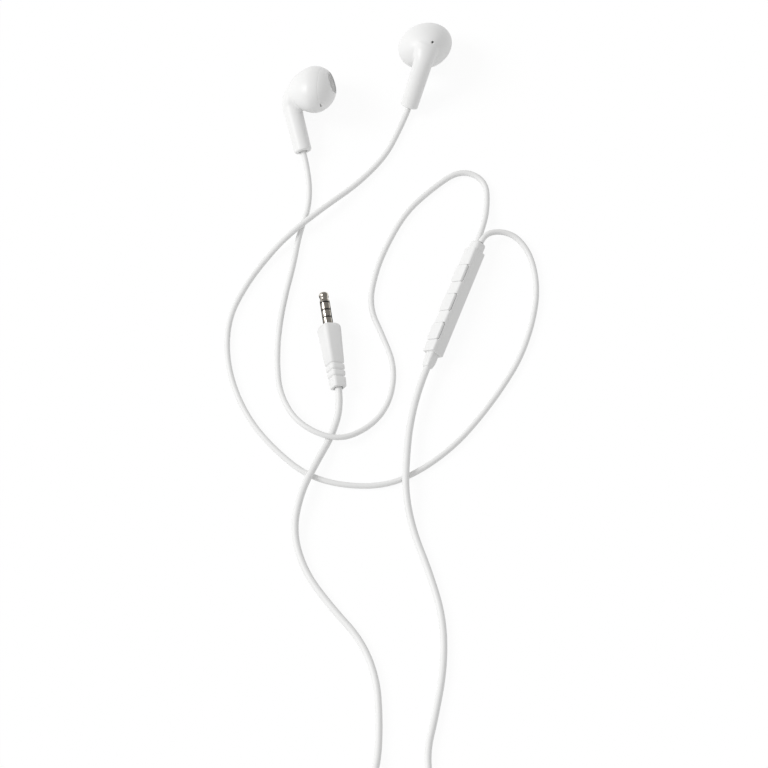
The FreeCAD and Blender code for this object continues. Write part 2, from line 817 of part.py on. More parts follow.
lid = new_body("remote_button_shell")
add_block(lid, "lid_block", "Additive", (-half_length, -half, split),
          (size("remote_length"), size("remote_width"), size("lid_thickness")))
round_long_edges(lid, "lid_edges", size("remote_corner"), lambda point: point.z > half_width - 0.01)
add_block(lid, "lid_hollow", "Subtractive", (-cavity_length, -cavity, split - PAST),
          (cavity_length * 2, cavity * 2, size("lid_thickness") - size("remote_wall") + PAST))
BUTTONS = (("volume_down", -1), ("play", 0), ("volume_up", 1))
inner_top = half - size("remote_wall")
window_length = size("button_length") + size("button_gap") * 2
for word, step in BUTTONS:
    middle = size("button_shift") + size("button_pitch") * step
    add_block(lid, word + "_window", "Subtractive", (middle - window_length / 2, -half - PAST, inner_top),
              (window_length, half * 2 + PAST * 2, size("remote_wall") + PAST))
finish_node(lid, "remote_button_shell", remote_place)

board_low = -cavity
board_top = board_low + size("board_thickness")
board = new_body("remote_circuit_board")
board_side = size("board_width") / 2
notch = size("board_notch")
add_plate(board, "board_plate", (
    (-board_half + notch, -board_side), (board_half - notch, -board_side), (board_half, -board_side + notch),
    (board_half, board_side - notch), (board_half - notch, board_side), (-board_half + notch, board_side),
    (-board_half, board_side - notch), (-board_half, -board_side + notch)), board_low, board_top)
finish_node(board, "remote_circuit_board", remote_place)

switch_top = board_top + size("switch_height")
dome_top = switch_top + size("dome_height")
for word, step in BUTTONS:
    middle = size("button_shift") + size("button_pitch") * step
    switch = new_body(word + "_switch")
    side_half = size("switch_side") / 2
    add_plate(switch, word + "_switch_base", (
        (middle - side_half, -side_half), (middle + side_half, -side_half),
        (middle + side_half, side_half), (middle - side_half, side_half)), board_top, switch_top)
    add_round(switch, word + "_switch_dome", "Additive", (middle, ZERO, switch_top), size("switch_dome"),
              size("dome_height"))
    finish_node(switch, word + "_switch", remote_place)

    button = new_body(word + "_button")
    flange_top = inner_top
    flange_low = flange_top - size("flange_thickness")
    button_top = half + size("button_raise")
    cap_half = size("button_length") / 2
    cap_side = half - size("button_inset")
    cap_low = inner_top + size("button_travel") + size("slip")
    stem_side = cavity - size("button_gap")
    add_plate(button, word + "_cap", (
        (middle - cap_half, -cap_side), (middle + cap_half, -cap_side),
        (middle + cap_half, cap_side), (middle - cap_half, cap_side)), cap_low, button_top)
    cap_top = plain(button_top)
    doc.recompute()
    cap = button.Tip
    rim = []
    for number, edge in enumerate(cap.Shape.Edges, start=1):
        if min(vertex.Point.z for vertex in edge.Vertexes) > cap_top - 0.01:
            rim.append(f"Edge{number}")
    bevel = button.newObject("PartDesign::Chamfer", word + "_rim")
    bevel.Base = (cap, rim)
    bevel.Size = SIZES["button_bevel"]
    bevel.setExpression("Size", "sizes.button_bevel")
    button.Tip = bevel
    add_block(button, word + "_stem", "Additive", (middle - cap_half, -stem_side, flange_low),
              (size("button_length"), stem_side * 2, cap_low - flange_low))
    add_block(button, word + "_flange", "Additive",
              (middle - cap_half - size("button_flange"), -stem_side, flange_low),
              (size("button_length") + size("button_flange") * 2, stem_side * 2,
               size("flange_thickness") - size("slip")))
    plunger_low = dome_top + size("button_travel") + size("slip")
    add_round(button, word + "_plunger", "Additive", (middle, ZERO, plunger_low), size("plunger_radius"),
              flange_low - plunger_low + size("slip"))
    finish_node(button, word + "_button", remote_place)

microphone = new_body("remote_microphone")
add_block(microphone, "microphone_can", "Additive",
          (microphone_middle - microphone_half, -microphone_half, board_top),
          (size("microphone_side"), size("microphone_side"), size("microphone_height")))
finish_node(microphone, "remote_microphone", remote_place)

fork = new_body("remote_fork_neck")
fork_half = size("fork_width") / 2
add_block(fork, "fork_block", "Additive", (half_length, -fork_half, -fork_half),
          (size("fork_length"), size("fork_width"), size("fork_width")))
round_long_edges(fork, "fork_edges", size("fork_corner"), lambda point: True)
finish_node(fork, "remote_fork_neck", remote_place)

relief_start = -SIZES["remote_length"] / 2
relief = kept_shape("remote_cord_relief", round_skin([
    (relief_start, SIZES["relief_radius"]),
    (relief_start - SIZES["relief_straight"], SIZES["relief_radius"]),
    (relief_start - SIZES["relief_length"], SIZES["relief_end_radius"]),
]))
finish_node(relief, "remote_cord_relief", remote_place)

# Plug: its own X runs from the moulding's front face out along the pin
PLUG_HEADING = Vector(-0.147, 0.989, 0).normalize()
plug_drop = (SIZES["plug_radius"] - SIZES["plug_tail_radius"]) / (SIZES["plug_length"] - SIZES["shoulder"])
PLUG_ALONG = (PLUG_HEADING + Vector(0, 0, plug_drop)).normalize()
PLUG_UP = (Vector(0, 0, 1) - PLUG_ALONG * PLUG_ALONG.z).normalize()
plug_height = SIZES["plug_radius"] / PLUG_UP.z + SIZES["shoulder"] * PLUG_ALONG.z
PLUG_FRONT = Vector(-18.9, -48.6, plug_height)
plug_place = pose(PLUG_FRONT + TABLE, PLUG_ALONG, PLUG_UP)

core_end = size("tip_start")
rod_back = -SIZES["core_root"]
tip_start = SIZES["tip_start"]
pin_length = SIZES["pin_length"]
band = SIZES["band_width"]
tip = kept_shape("plug_tip", round_skin([
    (rod_back, SIZES["rod_radius"]),
    (tip_start, SIZES["rod_radius"]),
    (tip_start, SIZES["pin_radius"]),
    (tip_start + band, SIZES["tip_shoulder"]),
    (tip_start + band * 3, SIZES["tip_waist"]),
    (pin_length - band * 3, SIZES["tip_shoulder"]),
    (pin_length - band * 1.6, SIZES["tip_nose"]),
    (pin_length - band * 0.6, SIZES["tip_end"]),
    (pin_length, SIZES["rod_radius"]),
]))
finish_node(tip, "plug_tip", plug_place)
core = new_body("plug_insulating_core")
add_drum(core, "core_drum", "Additive", -size("core_root"), core_end, size("core_radius"))
add_drum(core, "core_bore", "Subtractive", -size("core_root") - PAST, core_end + PAST,
         size("rod_radius") + size("slip"))
finish_node(core, "plug_insulating_core", plug_place)


def contact(label, start, end):
    """A round sleeve of the pin, turned from its half section."""
    inside = size("core_radius") + size("slip")
    outside = size("pin_radius")
    piece = turned(label, ((start, inside), (end, inside), (end, outside), (start, outside)))
    finish_node(piece, label, plug_place)


sleeve_inside = size("core_radius") + size("slip")
sleeve = turned("plug_sleeve", (
    (-size("sleeve_root"), sleeve_inside), (size("first_band"), sleeve_inside),
    (size("first_band"), size("pin_radius")), (size("pin_setback"), size("pin_radius")),
    (size("pin_setback"), size("root_radius")), (-size("sleeve_root"), size("root_radius"))))
finish_node(sleeve, "plug_sleeve", plug_place)
contact("plug_sleeve_band", size("first_band"), size("first_band") + size("band_width"))
contact("plug_second_ring", size("first_band") + size("band_width"), size("second_band"))
contact("plug_ring_band", size("second_band"), size("second_band") + size("band_width"))
contact("plug_first_ring", size("second_band") + size("band_width"), core_end - size("band_width"))
contact("plug_tip_band", core_end - size("band_width"), core_end)

inner_back = -size("inner_length")
sleeve_back = -size("sleeve_root") - size("slip")
core_back = -size("core_root") - size("slip")
inner_front = -size("shoulder") + PAST
inner = new_body("plug_inner_moulding")
add_drum(inner, "inner_block", "Additive", inner_back, -size("shoulder"), size("inner_radius"))
add_drum(inner, "sleeve_hole", "Subtractive", sleeve_back, inner_front, size("root_radius") + size("slip"))
add_drum(inner, "core_hole", "Subtractive", core_back, inner_front, size("core_radius") + size("slip"))
finish_node(inner, "plug_inner_moulding", plug_place)


def moulding_radius(back):
    """Radius of the moulding at a distance behind its shoulder's start."""
    share = (back - SIZES["shoulder"]) / (SIZES["plug_length"] - SIZES["shoulder"])
    return SIZES["plug_radius"] - (SIZES["plug_radius"] - SIZES["plug_tail_radius"]) * share


CORNER_SHARE = 0.45
CORNER_TURNS = (-45, -30, -15, 0, 15, 30, 45)


def square_ring(x, reach):
    """A square with round corners, twisted about X, that reaches so far to its sides."""
    twist = math.radians(SIZES["plug_twist"])
    spread = (1 - CORNER_SHARE) * (math.cos(twist) + math.sin(twist)) + CORNER_SHARE
    half_side = reach / spread
    corner = CORNER_SHARE * half_side
    ring = []
    for quarter in range(4):
        middle = math.pi / 4 + quarter * math.pi / 2
        inset = (half_side - corner) * math.sqrt(2)
        for turn in CORNER_TURNS:
            angle = middle + math.radians(turn)
            across = inset * math.cos(middle) + corner * math.cos(angle)
            up = inset * math.sin(middle) + corner * math.sin(angle)
            ring.append(Vector(x, across * math.cos(twist) - up * math.sin(twist),
                               across * math.sin(twist) + up * math.cos(twist)))
    return ring


shoulder = SIZES["shoulder"]
SLOT_ROWS = 3
stations = [
    (0, SIZES["plug_radius"] - SIZES["shoulder_drop"]),
    (SIZES["shoulder_step"], SIZES["plug_radius"] - SIZES["shoulder_ease"]),
    (shoulder, SIZES["plug_radius"]),
]
for number in range(SLOT_ROWS):
    front_edge = SIZES["slot_start"] + SIZES["slot_pitch"] * number
    back_edge = front_edge + SIZES["slot_width"]
    stations += [(front_edge, moulding_radius(front_edge)),
                 (front_edge, moulding_radius(front_edge) - SIZES["slot_depth"]),
                 (back_edge, moulding_radius(back_edge) - SIZES["slot_depth"]),
                 (back_edge, moulding_radius(back_edge))]
stations.append((SIZES["plug_length"], SIZES["plug_tail_radius"]))
moulding_rings = [square_ring(-back, radius) for back, radius in stations]
moulding_skin = kept_shape("plug_moulding_skin", skin_of_rings(moulding_rings))
tail_bore = cylinder_tool("plug_tail_bore", size("tail_bore"), size("tail_bore_depth"),
                          (-size("plug_length"), ZERO, ZERO))
inner_bore = cylinder_tool("plug_inner_bore", size("inner_radius") + size("slip"),
                           size("inner_length") - size("shoulder") + size("slip") * 2,
                           (inner_back - size("slip"), ZERO, ZERO))
pin_bore = cylinder_tool("plug_pin_bore", size("root_radius") + size("slip"), size("shoulder") + PAST * 2,
                         (-size("shoulder") - PAST, ZERO, ZERO))
moulding = cut_away("plug_moulding", moulding_skin, [tail_bore, inner_bore, pin_bore])
finish_node(moulding, "plug_moulding", plug_place)

doc.recompute()


# Cords: hand-chosen points in mm on the table, from the layout's own zero
def placed(points):
    return [Vector(*point) + TABLE for point in points]


def bud_exit(word):
    place = bud_poses[word]
    start = place.multVec(STEM_END + STEM_UP * SIZES["bush_set"])
    way = place.Rotation.multVec(STEM_UP * -1)
    return start, way


def fork_exit(sign):
    reach = SIZES["remote_length"] / 2 + SIZES["fork_length"]
    return remote_place.multVec(Vector(reach, sign * SIZES["fork_spread"], 0))


left_start, left_way = bud_exit("left")
right_start, right_way = bud_exit("right")
left_route = [left_start, left_start + left_way * 9.0] + placed([
    (-25.6, -0.6, 1.0), (-29.2, -11.4, 1.0), (-31.3, -24.0, 1.0), (-34.3, -36.2, 1.0),
    (-36.4, -48.8, 1.0), (-37.0, -61.6, 1.0), (-35.9, -74.0, 1.0), (-29.4, -86.8, 6.5),
    (-15.6, -93.2, 6.5), (-3.8, -86.3, 1.0), (2.9, -76.5, 1.0), (4.4, -63.0, 1.0),
    (0.2, -51.4, 1.0), (-4.7, -39.7, 1.0), (-2.4, -26.2, 1.0), (2.1, -14.7, 1.0),
    (8.3, -3.2, 1.0), (16.6, 5.2, 1.0), (27.4, 13.6, 1.0), (36.6, 9.2, 1.0),
    (36.9, -1.8, 1.3)]) + [fork_exit(1) + REMOTE_ALONG * 6.4, fork_exit(1)]
right_route = [right_start, right_start + right_way * 2.6] + placed([
    (5.2, 27.2, 1.0), (0.6, 18.0, 1.0), (-9.2, 7.2, 2.6), (-19.2, -1.2, 6.0), (-33.0, -12.8, 6.0),
    (-41.4, -22.0, 1.6), (-48.2, -32.0, 1.0), (-53.9, -44.1, 1.0), (-54.8, -58.3, 1.0),
    (-52.0, -71.9, 1.0), (-46.0, -84.9, 1.0), (-37.4, -95.6, 1.0), (-26.6, -105.2, 1.0),
    (-13.6, -109.2, 1.0), (1.2, -109.2, 1.0), (13.1, -103.6, 1.0), (24.7, -94.4, 1.0),
    (33.4, -84.0, 1.0), (41.5, -72.2, 1.0), (48.3, -60.2, 1.0), (52.7, -46.6, 1.0),
    (54.6, -33.3, 1.0), (52.6, -20.8, 1.2), (47.6, -13.2, 1.8), (41.6, -11.3, 2.9)]) + [
    fork_exit(-1) + REMOTE_ALONG * 3.6, fork_exit(-1)]
left_cord = cord("left_cord", left_route, SIZES["branch_radius"])
right_cord = cord("right_cord", right_route, SIZES["branch_radius"])

# Hank: six runs in two layers, folded at both ends and drawn in at the waist
HANK_MIDDLE = Vector(6.5, -264.0, 0) + TABLE
low = SIZES["main_radius"]
high = low + SIZES["hank_layer"]
inner_x = SIZES["hank_inner"]
step_x = SIZES["hank_step"]
HANK_RUNS = (
    (inner_x + step_x, low, low),
    (-inner_x - step_x / 2, low, low),
    (inner_x, low, high),
    (-inner_x, high, high),
    (inner_x + step_x, high, high),
    (-inner_x - step_x, high, high),
)


# Places along a run, from -1 to 1: the straight ends, where the waist starts and the waist itself
HANK_STATIONS = (-1, -0.88, -0.16, 0.16, 0.88, 1)
WAIST_WITHIN = 0.5
CLIMB_MARGIN = 0.06


def waist_x(x):
    out = SIZES["hank_waist"] + (abs(x) - inner_x) * SIZES["hank_waist_step"] / step_x
    return math.copysign(out, x)


def hank_run_points(number):
    x, start_z, end_z = HANK_RUNS[number]
    reach = SIZES["hank_run"] / 2
    way = -1 if number % 2 == 0 else 1
    points = []
    for along in HANK_STATIONS:
        at_waist = abs(along) < WAIST_WITHIN
        across = waist_x(x) if at_waist else x
        share = ((along + 1) / 2 - CLIMB_MARGIN) / (1 - 2 * CLIMB_MARGIN)
        share = min(max(share, 0), 1)
        lift = SIZES["tie_thickness"] if at_waist else 0
        height = start_z + (end_z - start_z) * share + lift
        points.append(HANK_MIDDLE + Vector(across, way * reach * along, height))
    return points


hank_edges = []
hank_turns = []
for number in range(len(HANK_RUNS)):
    run = hank_run_points(number)
    hank_turns.append(run)
    hank_edges += rounded_path(run, bend=SIZES["hank_bend"]).Edges
    if number + 1 < len(HANK_RUNS):
        start = run[-1]
        end = hank_run_points(number + 1)[0]
        way = -1 if number % 2 == 0 else 1
        radius = (end - start).Length / 2
        top = (start + end) * 0.5 + Vector(0, way * radius, 0)
        hank_edges.append(Part.Arc(start, top, end).toShape())
hank_path = Part.Wire(hank_edges)
hank_solid = tube_along(hank_path, SIZES["main_radius"], HANK_SIDES)
section = HANK_SIDES / 2 * math.sin(2 * math.pi / HANK_SIDES) * SIZES["main_radius"] ** 2
print("main_cord_hank length", round(hank_path.Length, 1), "volume over section by length",
      round(hank_solid.Volume / (section * hank_path.Length), 4))


GAP_STEP = 0.8
GAP_SKIP = 3.2


def least_self_gap(path, diameter):
    """Least clear space between turns, on points a little apart along the path."""
    count = int(path.Length / GAP_STEP)
    points = path.discretize(count)
    apart = path.Length / (count - 1)
    skip = int(GAP_SKIP * diameter / apart)
    least = 1e9
    for first in range(count):
        for second in range(first + skip, count):
            gap = points[first].distanceToPoint(points[second])
            if gap < least:
                least = gap
    return least - diameter


print("hank least self-gap", round(least_self_gap(hank_path, 2 * SIZES["main_radius"]), 2))
hank = kept_shape("main_cord_hank", hank_solid)

# Main cord: from the remote to the hank and from the hank to the plug
relief_end = remote_place.multVec(Vector(-SIZES["remote_length"] / 2 - SIZES["relief_length"], 0, 0))
plug_back = plug_place.multVec(Vector(-SIZES["plug_length"] + SIZES["tail_bore_depth"], 0, 0))
hank_in = hank_turns[0][0]
hank_out = hank_turns[-1][-1]
hank_lead = Vector(0, SIZES["hank_lead"], 0)
upper_route = [relief_end, relief_end - REMOTE_ALONG * 9.0] + placed([
    (9.6, -86.6, 3.4), (8.5, -98.8, 6.25), (8.0, -112.4, 6.25), (10.6, -126.4, 1.25),
    (16.6, -142.9, 1.25), (21.4, -160.6, 1.25), (21.6, -179.6, 1.25), (18.4, -198.6, 1.25),
    (15.4, -212.4, 1.25)]) + [hank_in + hank_lead, hank_in]
lower_route = [hank_out, hank_out + hank_lead] + placed([
    (-1.4, -214.2, 1.25), (-1.0, -198.6, 1.25), (-2.0, -183.4, 1.25), (-7.2, -169.0, 1.25),
    (-17.6, -156.4, 1.25), (-27.0, -142.9, 1.25), (-31.4, -127.6, 2.6), (-28.6, -112.6, 6.25),
    (-22.4, -99.4, 6.25), (-17.6, -89.6, 2.0)]) + [plug_back - PLUG_ALONG * 8.4, plug_back]
upper_cord = cord("main_cord_upper", upper_route, SIZES["main_radius"])
lower_cord = cord("main_cord_lower", lower_route, SIZES["main_radius"])
for feature in (left_cord, right_cord, upper_cord, hank, lower_cord):
    feature.Label = feature.Name
    nodes.append(feature)

# Tie: a flat strap round the hank's waist
thick = SIZES["tie_thickness"]
outer_x = waist_x(inner_x + step_x) + SIZES["main_radius"] + SIZES["tie_gap"]
strap_top = high + thick + SIZES["main_radius"] + SIZES["tie_gap"]
strap_half = SIZES["tie_width"] / 2
outside = Part.makeBox(2 * (outer_x + thick), 2 * strap_half, strap_top + thick,
                       Vector(-outer_x - thick, -strap_half, 0))
inside = Part.makeBox(2 * outer_x, 4 * strap_half, strap_top - thick, Vector(-outer_x, -2 * strap_half, thick))
strap = outside.cut(inside)
tie = kept_shape("hank_tie", strap)
finish_node(tie, "hank_tie", FreeCAD.Placement(HANK_MIDDLE, FreeCAD.Rotation()))

doc.recompute()

ROUTES = (("left", left_route), ("right", right_route), ("upper", upper_route), ("lower", lower_route))
for word, route in ROUTES:
    print(word, "route", [tuple(round(value, 2) for value in point) for point in route])

for feature in doc.Objects:
    if "Invalid" in feature.State or "Error" in feature.State:
        raise RuntimeError(f"{feature.Label} did not build: {feature.State}")

own = None
for feature in nodes:
    shape = feature.Shape
    if shape.isNull() or not shape.isValid() or not shape.Solids:
        raise RuntimeError(f"{feature.Label} has no valid solid")
    if len(shape.Solids) != 1:
        raise RuntimeError(f"{feature.Label} has {len(shape.Solids)} solids")
    shape.exportStep(f"parts/{feature.Label}.step")
    if not feature.Label.startswith(("plug", "left_cord", "right_cord", "main_cord", "hank")):
        own = shape.BoundBox if own is None else own.united(shape.BoundBox)
print("pieces", len(nodes))
pin_middle = plug_place.multVec(Vector((SIZES["pin_setback"] + SIZES["tip_start"]) / 2, 0, 0))
print("pin middle", [round(value, 3) for value in pin_middle])
print("pin axis", [round(value, 5) for value in PLUG_ALONG])
print("buttons press along", [round(-value, 5) for value in REMOTE_OUT])
for word, place in bud_poses.items():
    for name, point in (("ear seat", NOZZLE_MIDDLE), ("stem end", STEM_END)):
        print(word, name, [round(value, 3) for value in place.multVec(point)])
    print(word, "nozzle way", [round(value, 5) for value in place.Rotation.multVec(NOZZLE)])
print("own box", [round(value, 2) for value in (own.XMin, own.XMax, own.YMin, own.YMax, own.ZMin, own.ZMax)])
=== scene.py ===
# %% [markdown]
# # Wired earphones with a three-button remote
#
# The part was built and packed as solids first. This lesson dresses it: it sets the camera and
# the light, lays the cords as smooth curves, models the shells, the remote and the plug by hand,
# and gives every piece a finish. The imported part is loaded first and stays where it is.

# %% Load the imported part
import math
import bpy
from mathutils import Matrix, Vector


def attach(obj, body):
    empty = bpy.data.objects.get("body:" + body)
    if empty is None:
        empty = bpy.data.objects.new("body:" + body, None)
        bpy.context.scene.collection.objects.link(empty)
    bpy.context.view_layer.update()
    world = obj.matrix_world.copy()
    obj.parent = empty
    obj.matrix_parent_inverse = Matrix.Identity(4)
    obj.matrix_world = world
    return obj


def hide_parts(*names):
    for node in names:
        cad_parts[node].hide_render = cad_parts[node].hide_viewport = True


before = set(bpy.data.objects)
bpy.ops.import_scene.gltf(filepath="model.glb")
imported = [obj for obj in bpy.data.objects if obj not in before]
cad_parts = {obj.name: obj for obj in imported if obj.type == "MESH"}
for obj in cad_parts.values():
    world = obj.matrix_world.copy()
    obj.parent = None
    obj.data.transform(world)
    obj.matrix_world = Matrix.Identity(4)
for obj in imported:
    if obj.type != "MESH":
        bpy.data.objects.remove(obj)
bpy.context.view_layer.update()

MM = 0.001
scene = bpy.context.scene

# %% [markdown]
# ## The camera
#
# The photograph looks down steeply and from far away, so lines that run away from the viewer
# hardly draw together. A camera placed near with a wide lens would bend the lie of the cords.
# It is put twelve metres off with a very long lens instead, aimed at the middle of the picture.

# %% Camera
LOOK_DOWN = math.radians(65)
CAMERA_AWAY = 12.0
PICTURE_WIDTH = 269.5 * MM
AIM = Vector((0.025, -70.09, 0)) * MM

camera_back = Vector((0, -math.cos(LOOK_DOWN), math.sin(LOOK_DOWN)))
bpy.ops.object.camera_add(location=AIM + camera_back * CAMERA_AWAY)
camera = bpy.context.object
camera.rotation_euler = (-camera_back).to_track_quat("-Z", "Y").to_euler()
camera.data.sensor_width = 36
camera.data.lens = camera.data.sensor_width * CAMERA_AWAY / PICTURE_WIDTH
camera.data.clip_end = 100
scene.camera = camera
scene.view_settings.view_transform = "Standard"
print("lens", round(camera.data.lens), "mm at", CAMERA_AWAY, "m")

# %% [markdown]
# ## Node helpers
#
# The room's light, the table and every finish are small trees of nodes. One helper adds a node
# and sets its inputs by name. A value is kept as a pair, the node and its output, and another
# helper joins such pairs to inputs. A third tells the kinds of ray apart.


# %% Node helpers
def add(tree, kind, operation=None, **inputs):
    """A new shader node. In an input's name each space is written as _."""
    node = tree.nodes.new("ShaderNode" + kind)
    if operation is not None:
        node.operation = operation
    for title, value in inputs.items():
        node.inputs[title.replace("_", " ")].default_value = value
    return node


def join(tree, *links):
    """Join sockets, each link given as node, output, node, input."""
    for source, output, target, entry in links:
        tree.links.new(source.outputs[output], target.inputs[entry])


def seen_by(tree, *rays):
    """1 for the named kinds of ray and 0 for the others."""
    path = add(tree, "LightPath")
    value = (path, rays[0])
    for ray in rays[1:]:
        either = add(tree, "Math", "MAXIMUM")
        join(tree, (*value, either, 0), (path, ray, either, 1))
        value = (either, 0)
    return value


def new_material(name):
    material = bpy.data.materials.new(name)
    material.use_nodes = True
    return material, material.node_tree


print("node helpers ready")

# %% [markdown]
# ## Light and table
#
# White plastic on a white table shows its shape only through soft shading. One wide sun from the
# left at a third of the way up gives a bright left side and a light grey right side, and an even
# white world fills the rest. Lamps with a size and a place would light the near end more than
# the far end; a sun doesn't. In mirrors the room is a dim grey, so that the polished pin shows
# one bright stripe and otherwise dark metal, as it does in a studio with a single soft light.

# %% World and sun
FILL_LIGHT = 0.77
DIM_ROOM = 0.28
SUN_STRENGTH = 1.5
SUN_WIDTH = math.radians(28)
SUN_HEIGHT = math.radians(37)
SUN_BEHIND = 0.12

world = bpy.data.worlds.new("white_studio")
scene.world = world
world.use_nodes = True
tree = world.node_tree
tree.nodes.clear()
strength = add(tree, "MapRange", To_Min=FILL_LIGHT, To_Max=1.0)
mirrored = add(tree, "MapRange", To_Max=DIM_ROOM)
background = add(tree, "Background")
join(tree, (*seen_by(tree, "Is Camera Ray", "Is Transmission Ray"), strength, "Value"),
     (*seen_by(tree, "Is Glossy Ray"), mirrored, "Value"),
     (strength, "Result", mirrored, "To Min"), (mirrored, "Result", background, "Strength"),
     (background, 0, add(tree, "OutputWorld"), "Surface"))

sun_from = Vector((-math.cos(SUN_HEIGHT), SUN_BEHIND, math.sin(SUN_HEIGHT)))
bpy.ops.object.light_add(type="SUN", location=(0, 0, 1))
sun = bpy.context.object
sun.rotation_euler = (-sun_from).to_track_quat("-Z", "Y").to_euler()
sun.data.energy = SUN_STRENGTH
sun.data.angle = SUN_WIDTH
print("fill", FILL_LIGHT, "sun", SUN_STRENGTH)

# %% [markdown]
# The table is a wide plane. For the camera it glows a little less than white by itself, and the
# light that falls on it brings the rest, so it shows as white and still takes a faint shadow.

# %% Table
TABLE_SIDE = 60.0
TABLE_BELOW = 0.02 * MM
PAPER_GREY = (0.85, 0.85, 0.85, 1)
SEEN_GREY = (0.10, 0.10, 0.10, 1)
PAPER_GLOW = 0.91

bpy.ops.mesh.primitive_plane_add(size=TABLE_SIDE, location=(0, 0, -TABLE_BELOW))
table = bpy.context.object
table.name = "table"
paper, tree = new_material("white_paper")
tree.nodes.clear()
seen = seen_by(tree, "Is Camera Ray", "Is Glossy Ray", "Is Transmission Ray")
plain = add(tree, "BsdfDiffuse", Color=PAPER_GREY)
faint = add(tree, "BsdfDiffuse", Color=SEEN_GREY)
glow = add(tree, "Emission", Strength=PAPER_GLOW)
both = add(tree, "AddShader")
mixed = add(tree, "MixShader")
join(tree, (faint, 0, both, 0), (glow, 0, both, 1), (*seen, mixed, "Fac"), (plain, 0, mixed, 1),
     (both, 0, mixed, 2), (mixed, 0, add(tree, "OutputMaterial"), "Surface"))
table.data.materials.append(paper)
print("table", TABLE_SIDE, "m wide")

# %% [markdown]
# ## Finishes
#
# Real plastic is never one flat colour: the tool leaves a fine grain, the melt leaves faint
# clouds, and handling leaves a few specks. Each of these effects is a node group, built once
# with named inputs, and every material places the groups with its own values.


# %% Node group: moulded grain
def new_group(name, inputs, outputs):
    """An empty node group. An input is a name and a start value, or None for a vector."""
    group = bpy.data.node_groups.new(name, "ShaderNodeTree")
    for title, start in inputs:
        kind = "NodeSocketVector" if start is None else "NodeSocketFloat"
        socket = group.interface.new_socket(title, in_out="INPUT", socket_type=kind)
        if start is not None:
            socket.default_value = start
    for title in outputs:
        group.interface.new_socket(title, in_out="OUTPUT", socket_type="NodeSocketFloat")
    return group, group.nodes.new("NodeGroupInput"), group.nodes.new("NodeGroupOutput")


moulded, entry, result = new_group(
    "moulded_grain", [("Cloud Scale", 120), ("Grain Scale", 4000), ("Speck Scale", 500)],
    ["Cloud", "Grain", "Speck"])
place = add(moulded, "TexCoord")
cloud = add(moulded, "TexNoise", Detail=3)
grain = add(moulded, "TexNoise", Detail=2)
speck = add(moulded, "TexVoronoi")
speck_edge = add(moulded, "MapRange", From_Min=0.05, From_Max=0.12, To_Min=1, To_Max=0)
for texture, title in ((cloud, "Cloud Scale"), (grain, "Grain Scale"), (speck, "Speck Scale")):
    join(moulded, (place, "Object", texture, "Vector"), (entry, title, texture, "Scale"))
join(moulded, (cloud, "Fac", result, "Cloud"), (grain, "Fac", result, "Grain"),
     (speck, "Distance", speck_edge, "Value"), (speck_edge, "Result", result, "Speck"))
print("group", moulded.name)

# %% [markdown]
# Turned, drawn and wound parts show fine lines that run one way. A noise whose coordinates are
# stretched gives such lines; the material turns them along the piece with a Mapping node.

# %% Node group: drawn lines
drawn, entry, result = new_group("drawn_lines", [("Vector", None), ("Scale", 1000)],
                                 ["Lines", "Patches"])
stretch = add(drawn, "Mapping", Scale=(1.0, 0.02, 0.02))
lines = add(drawn, "TexNoise", Detail=4)
patches = add(drawn, "TexNoise", Scale=300)
join(drawn, (entry, "Vector", stretch, "Vector"), (stretch, "Vector", lines, "Vector"),
     (entry, "Scale", lines, "Scale"), (entry, "Vector", patches, "Vector"),
     (lines, "Fac", result, "Lines"), (patches, "Fac", result, "Patches"))
print("group", drawn.name)

# %% [markdown]
# A plastic or rubber finish mixes two close tones by the clouds, lets the specks darken it a
# little, moves the roughness with the clouds and lifts the grain with a bump. One helper makes
# such a material; the numbers that a maker would quote are its arguments.


# %% Plastic and rubber finishes
def ramp(tree, value, low, high):
    """Map a 0 to 1 value to a range."""
    node = add(tree, "MapRange", To_Min=low, To_Max=high)
    join(tree, (*value, node, "Value"))
    return node, "Result"


def blend_colours(tree, share, low, high):
    """Mix two tones by a share. The first may come from a node instead."""
    node = add(tree, "Mix")
    node.data_type = "RGBA"
    if len(low) == 3:
        node.inputs["A"].default_value = (*low, 1)
    else:
        join(tree, (*low, node, "A"))
    node.inputs["B"].default_value = (*high, 1)
    join(tree, (*share, node, "Factor"))
    return node, "Result"


def cover(tree, colour, roughness, height, relief, depth):
    """Join a colour, a roughness and a bump, its depth in mm, to the material's shader."""
    shader = tree.nodes["Principled BSDF"]
    bump = add(tree, "Bump", Strength=relief, Distance=depth * MM)
    join(tree, (*colour, shader, "Base Color"), (*roughness, shader, "Roughness"),
         (*height, bump, "Height"), (bump, "Normal", shader, "Normal"))
    return shader


COAT_ROUGHNESS = 0.25


def plastic(name, tones, roughness, cloud=120, grain=4000, speck=500, speck_tone=None,
            relief=0.02, grain_depth=0.01, coat=0.0):
    material, tree = new_material(name)
    group = add(tree, "Group")
    group.node_tree = moulded
    for title, scale in (("Cloud Scale", cloud), ("Grain Scale", grain), ("Speck Scale", speck)):
        group.inputs[title].default_value = scale
    colour = blend_colours(tree, (group, "Cloud"), *tones)
    if speck_tone is not None:
        colour = blend_colours(tree, (group, "Speck"), colour, speck_tone)
    shader = cover(tree, colour, ramp(tree, (group, "Cloud"), *roughness), (group, "Grain"),
                   relief, grain_depth)
    shader.inputs["Coat Weight"].default_value = coat
    shader.inputs["Coat Roughness"].default_value = COAT_ROUGHNESS
    return material


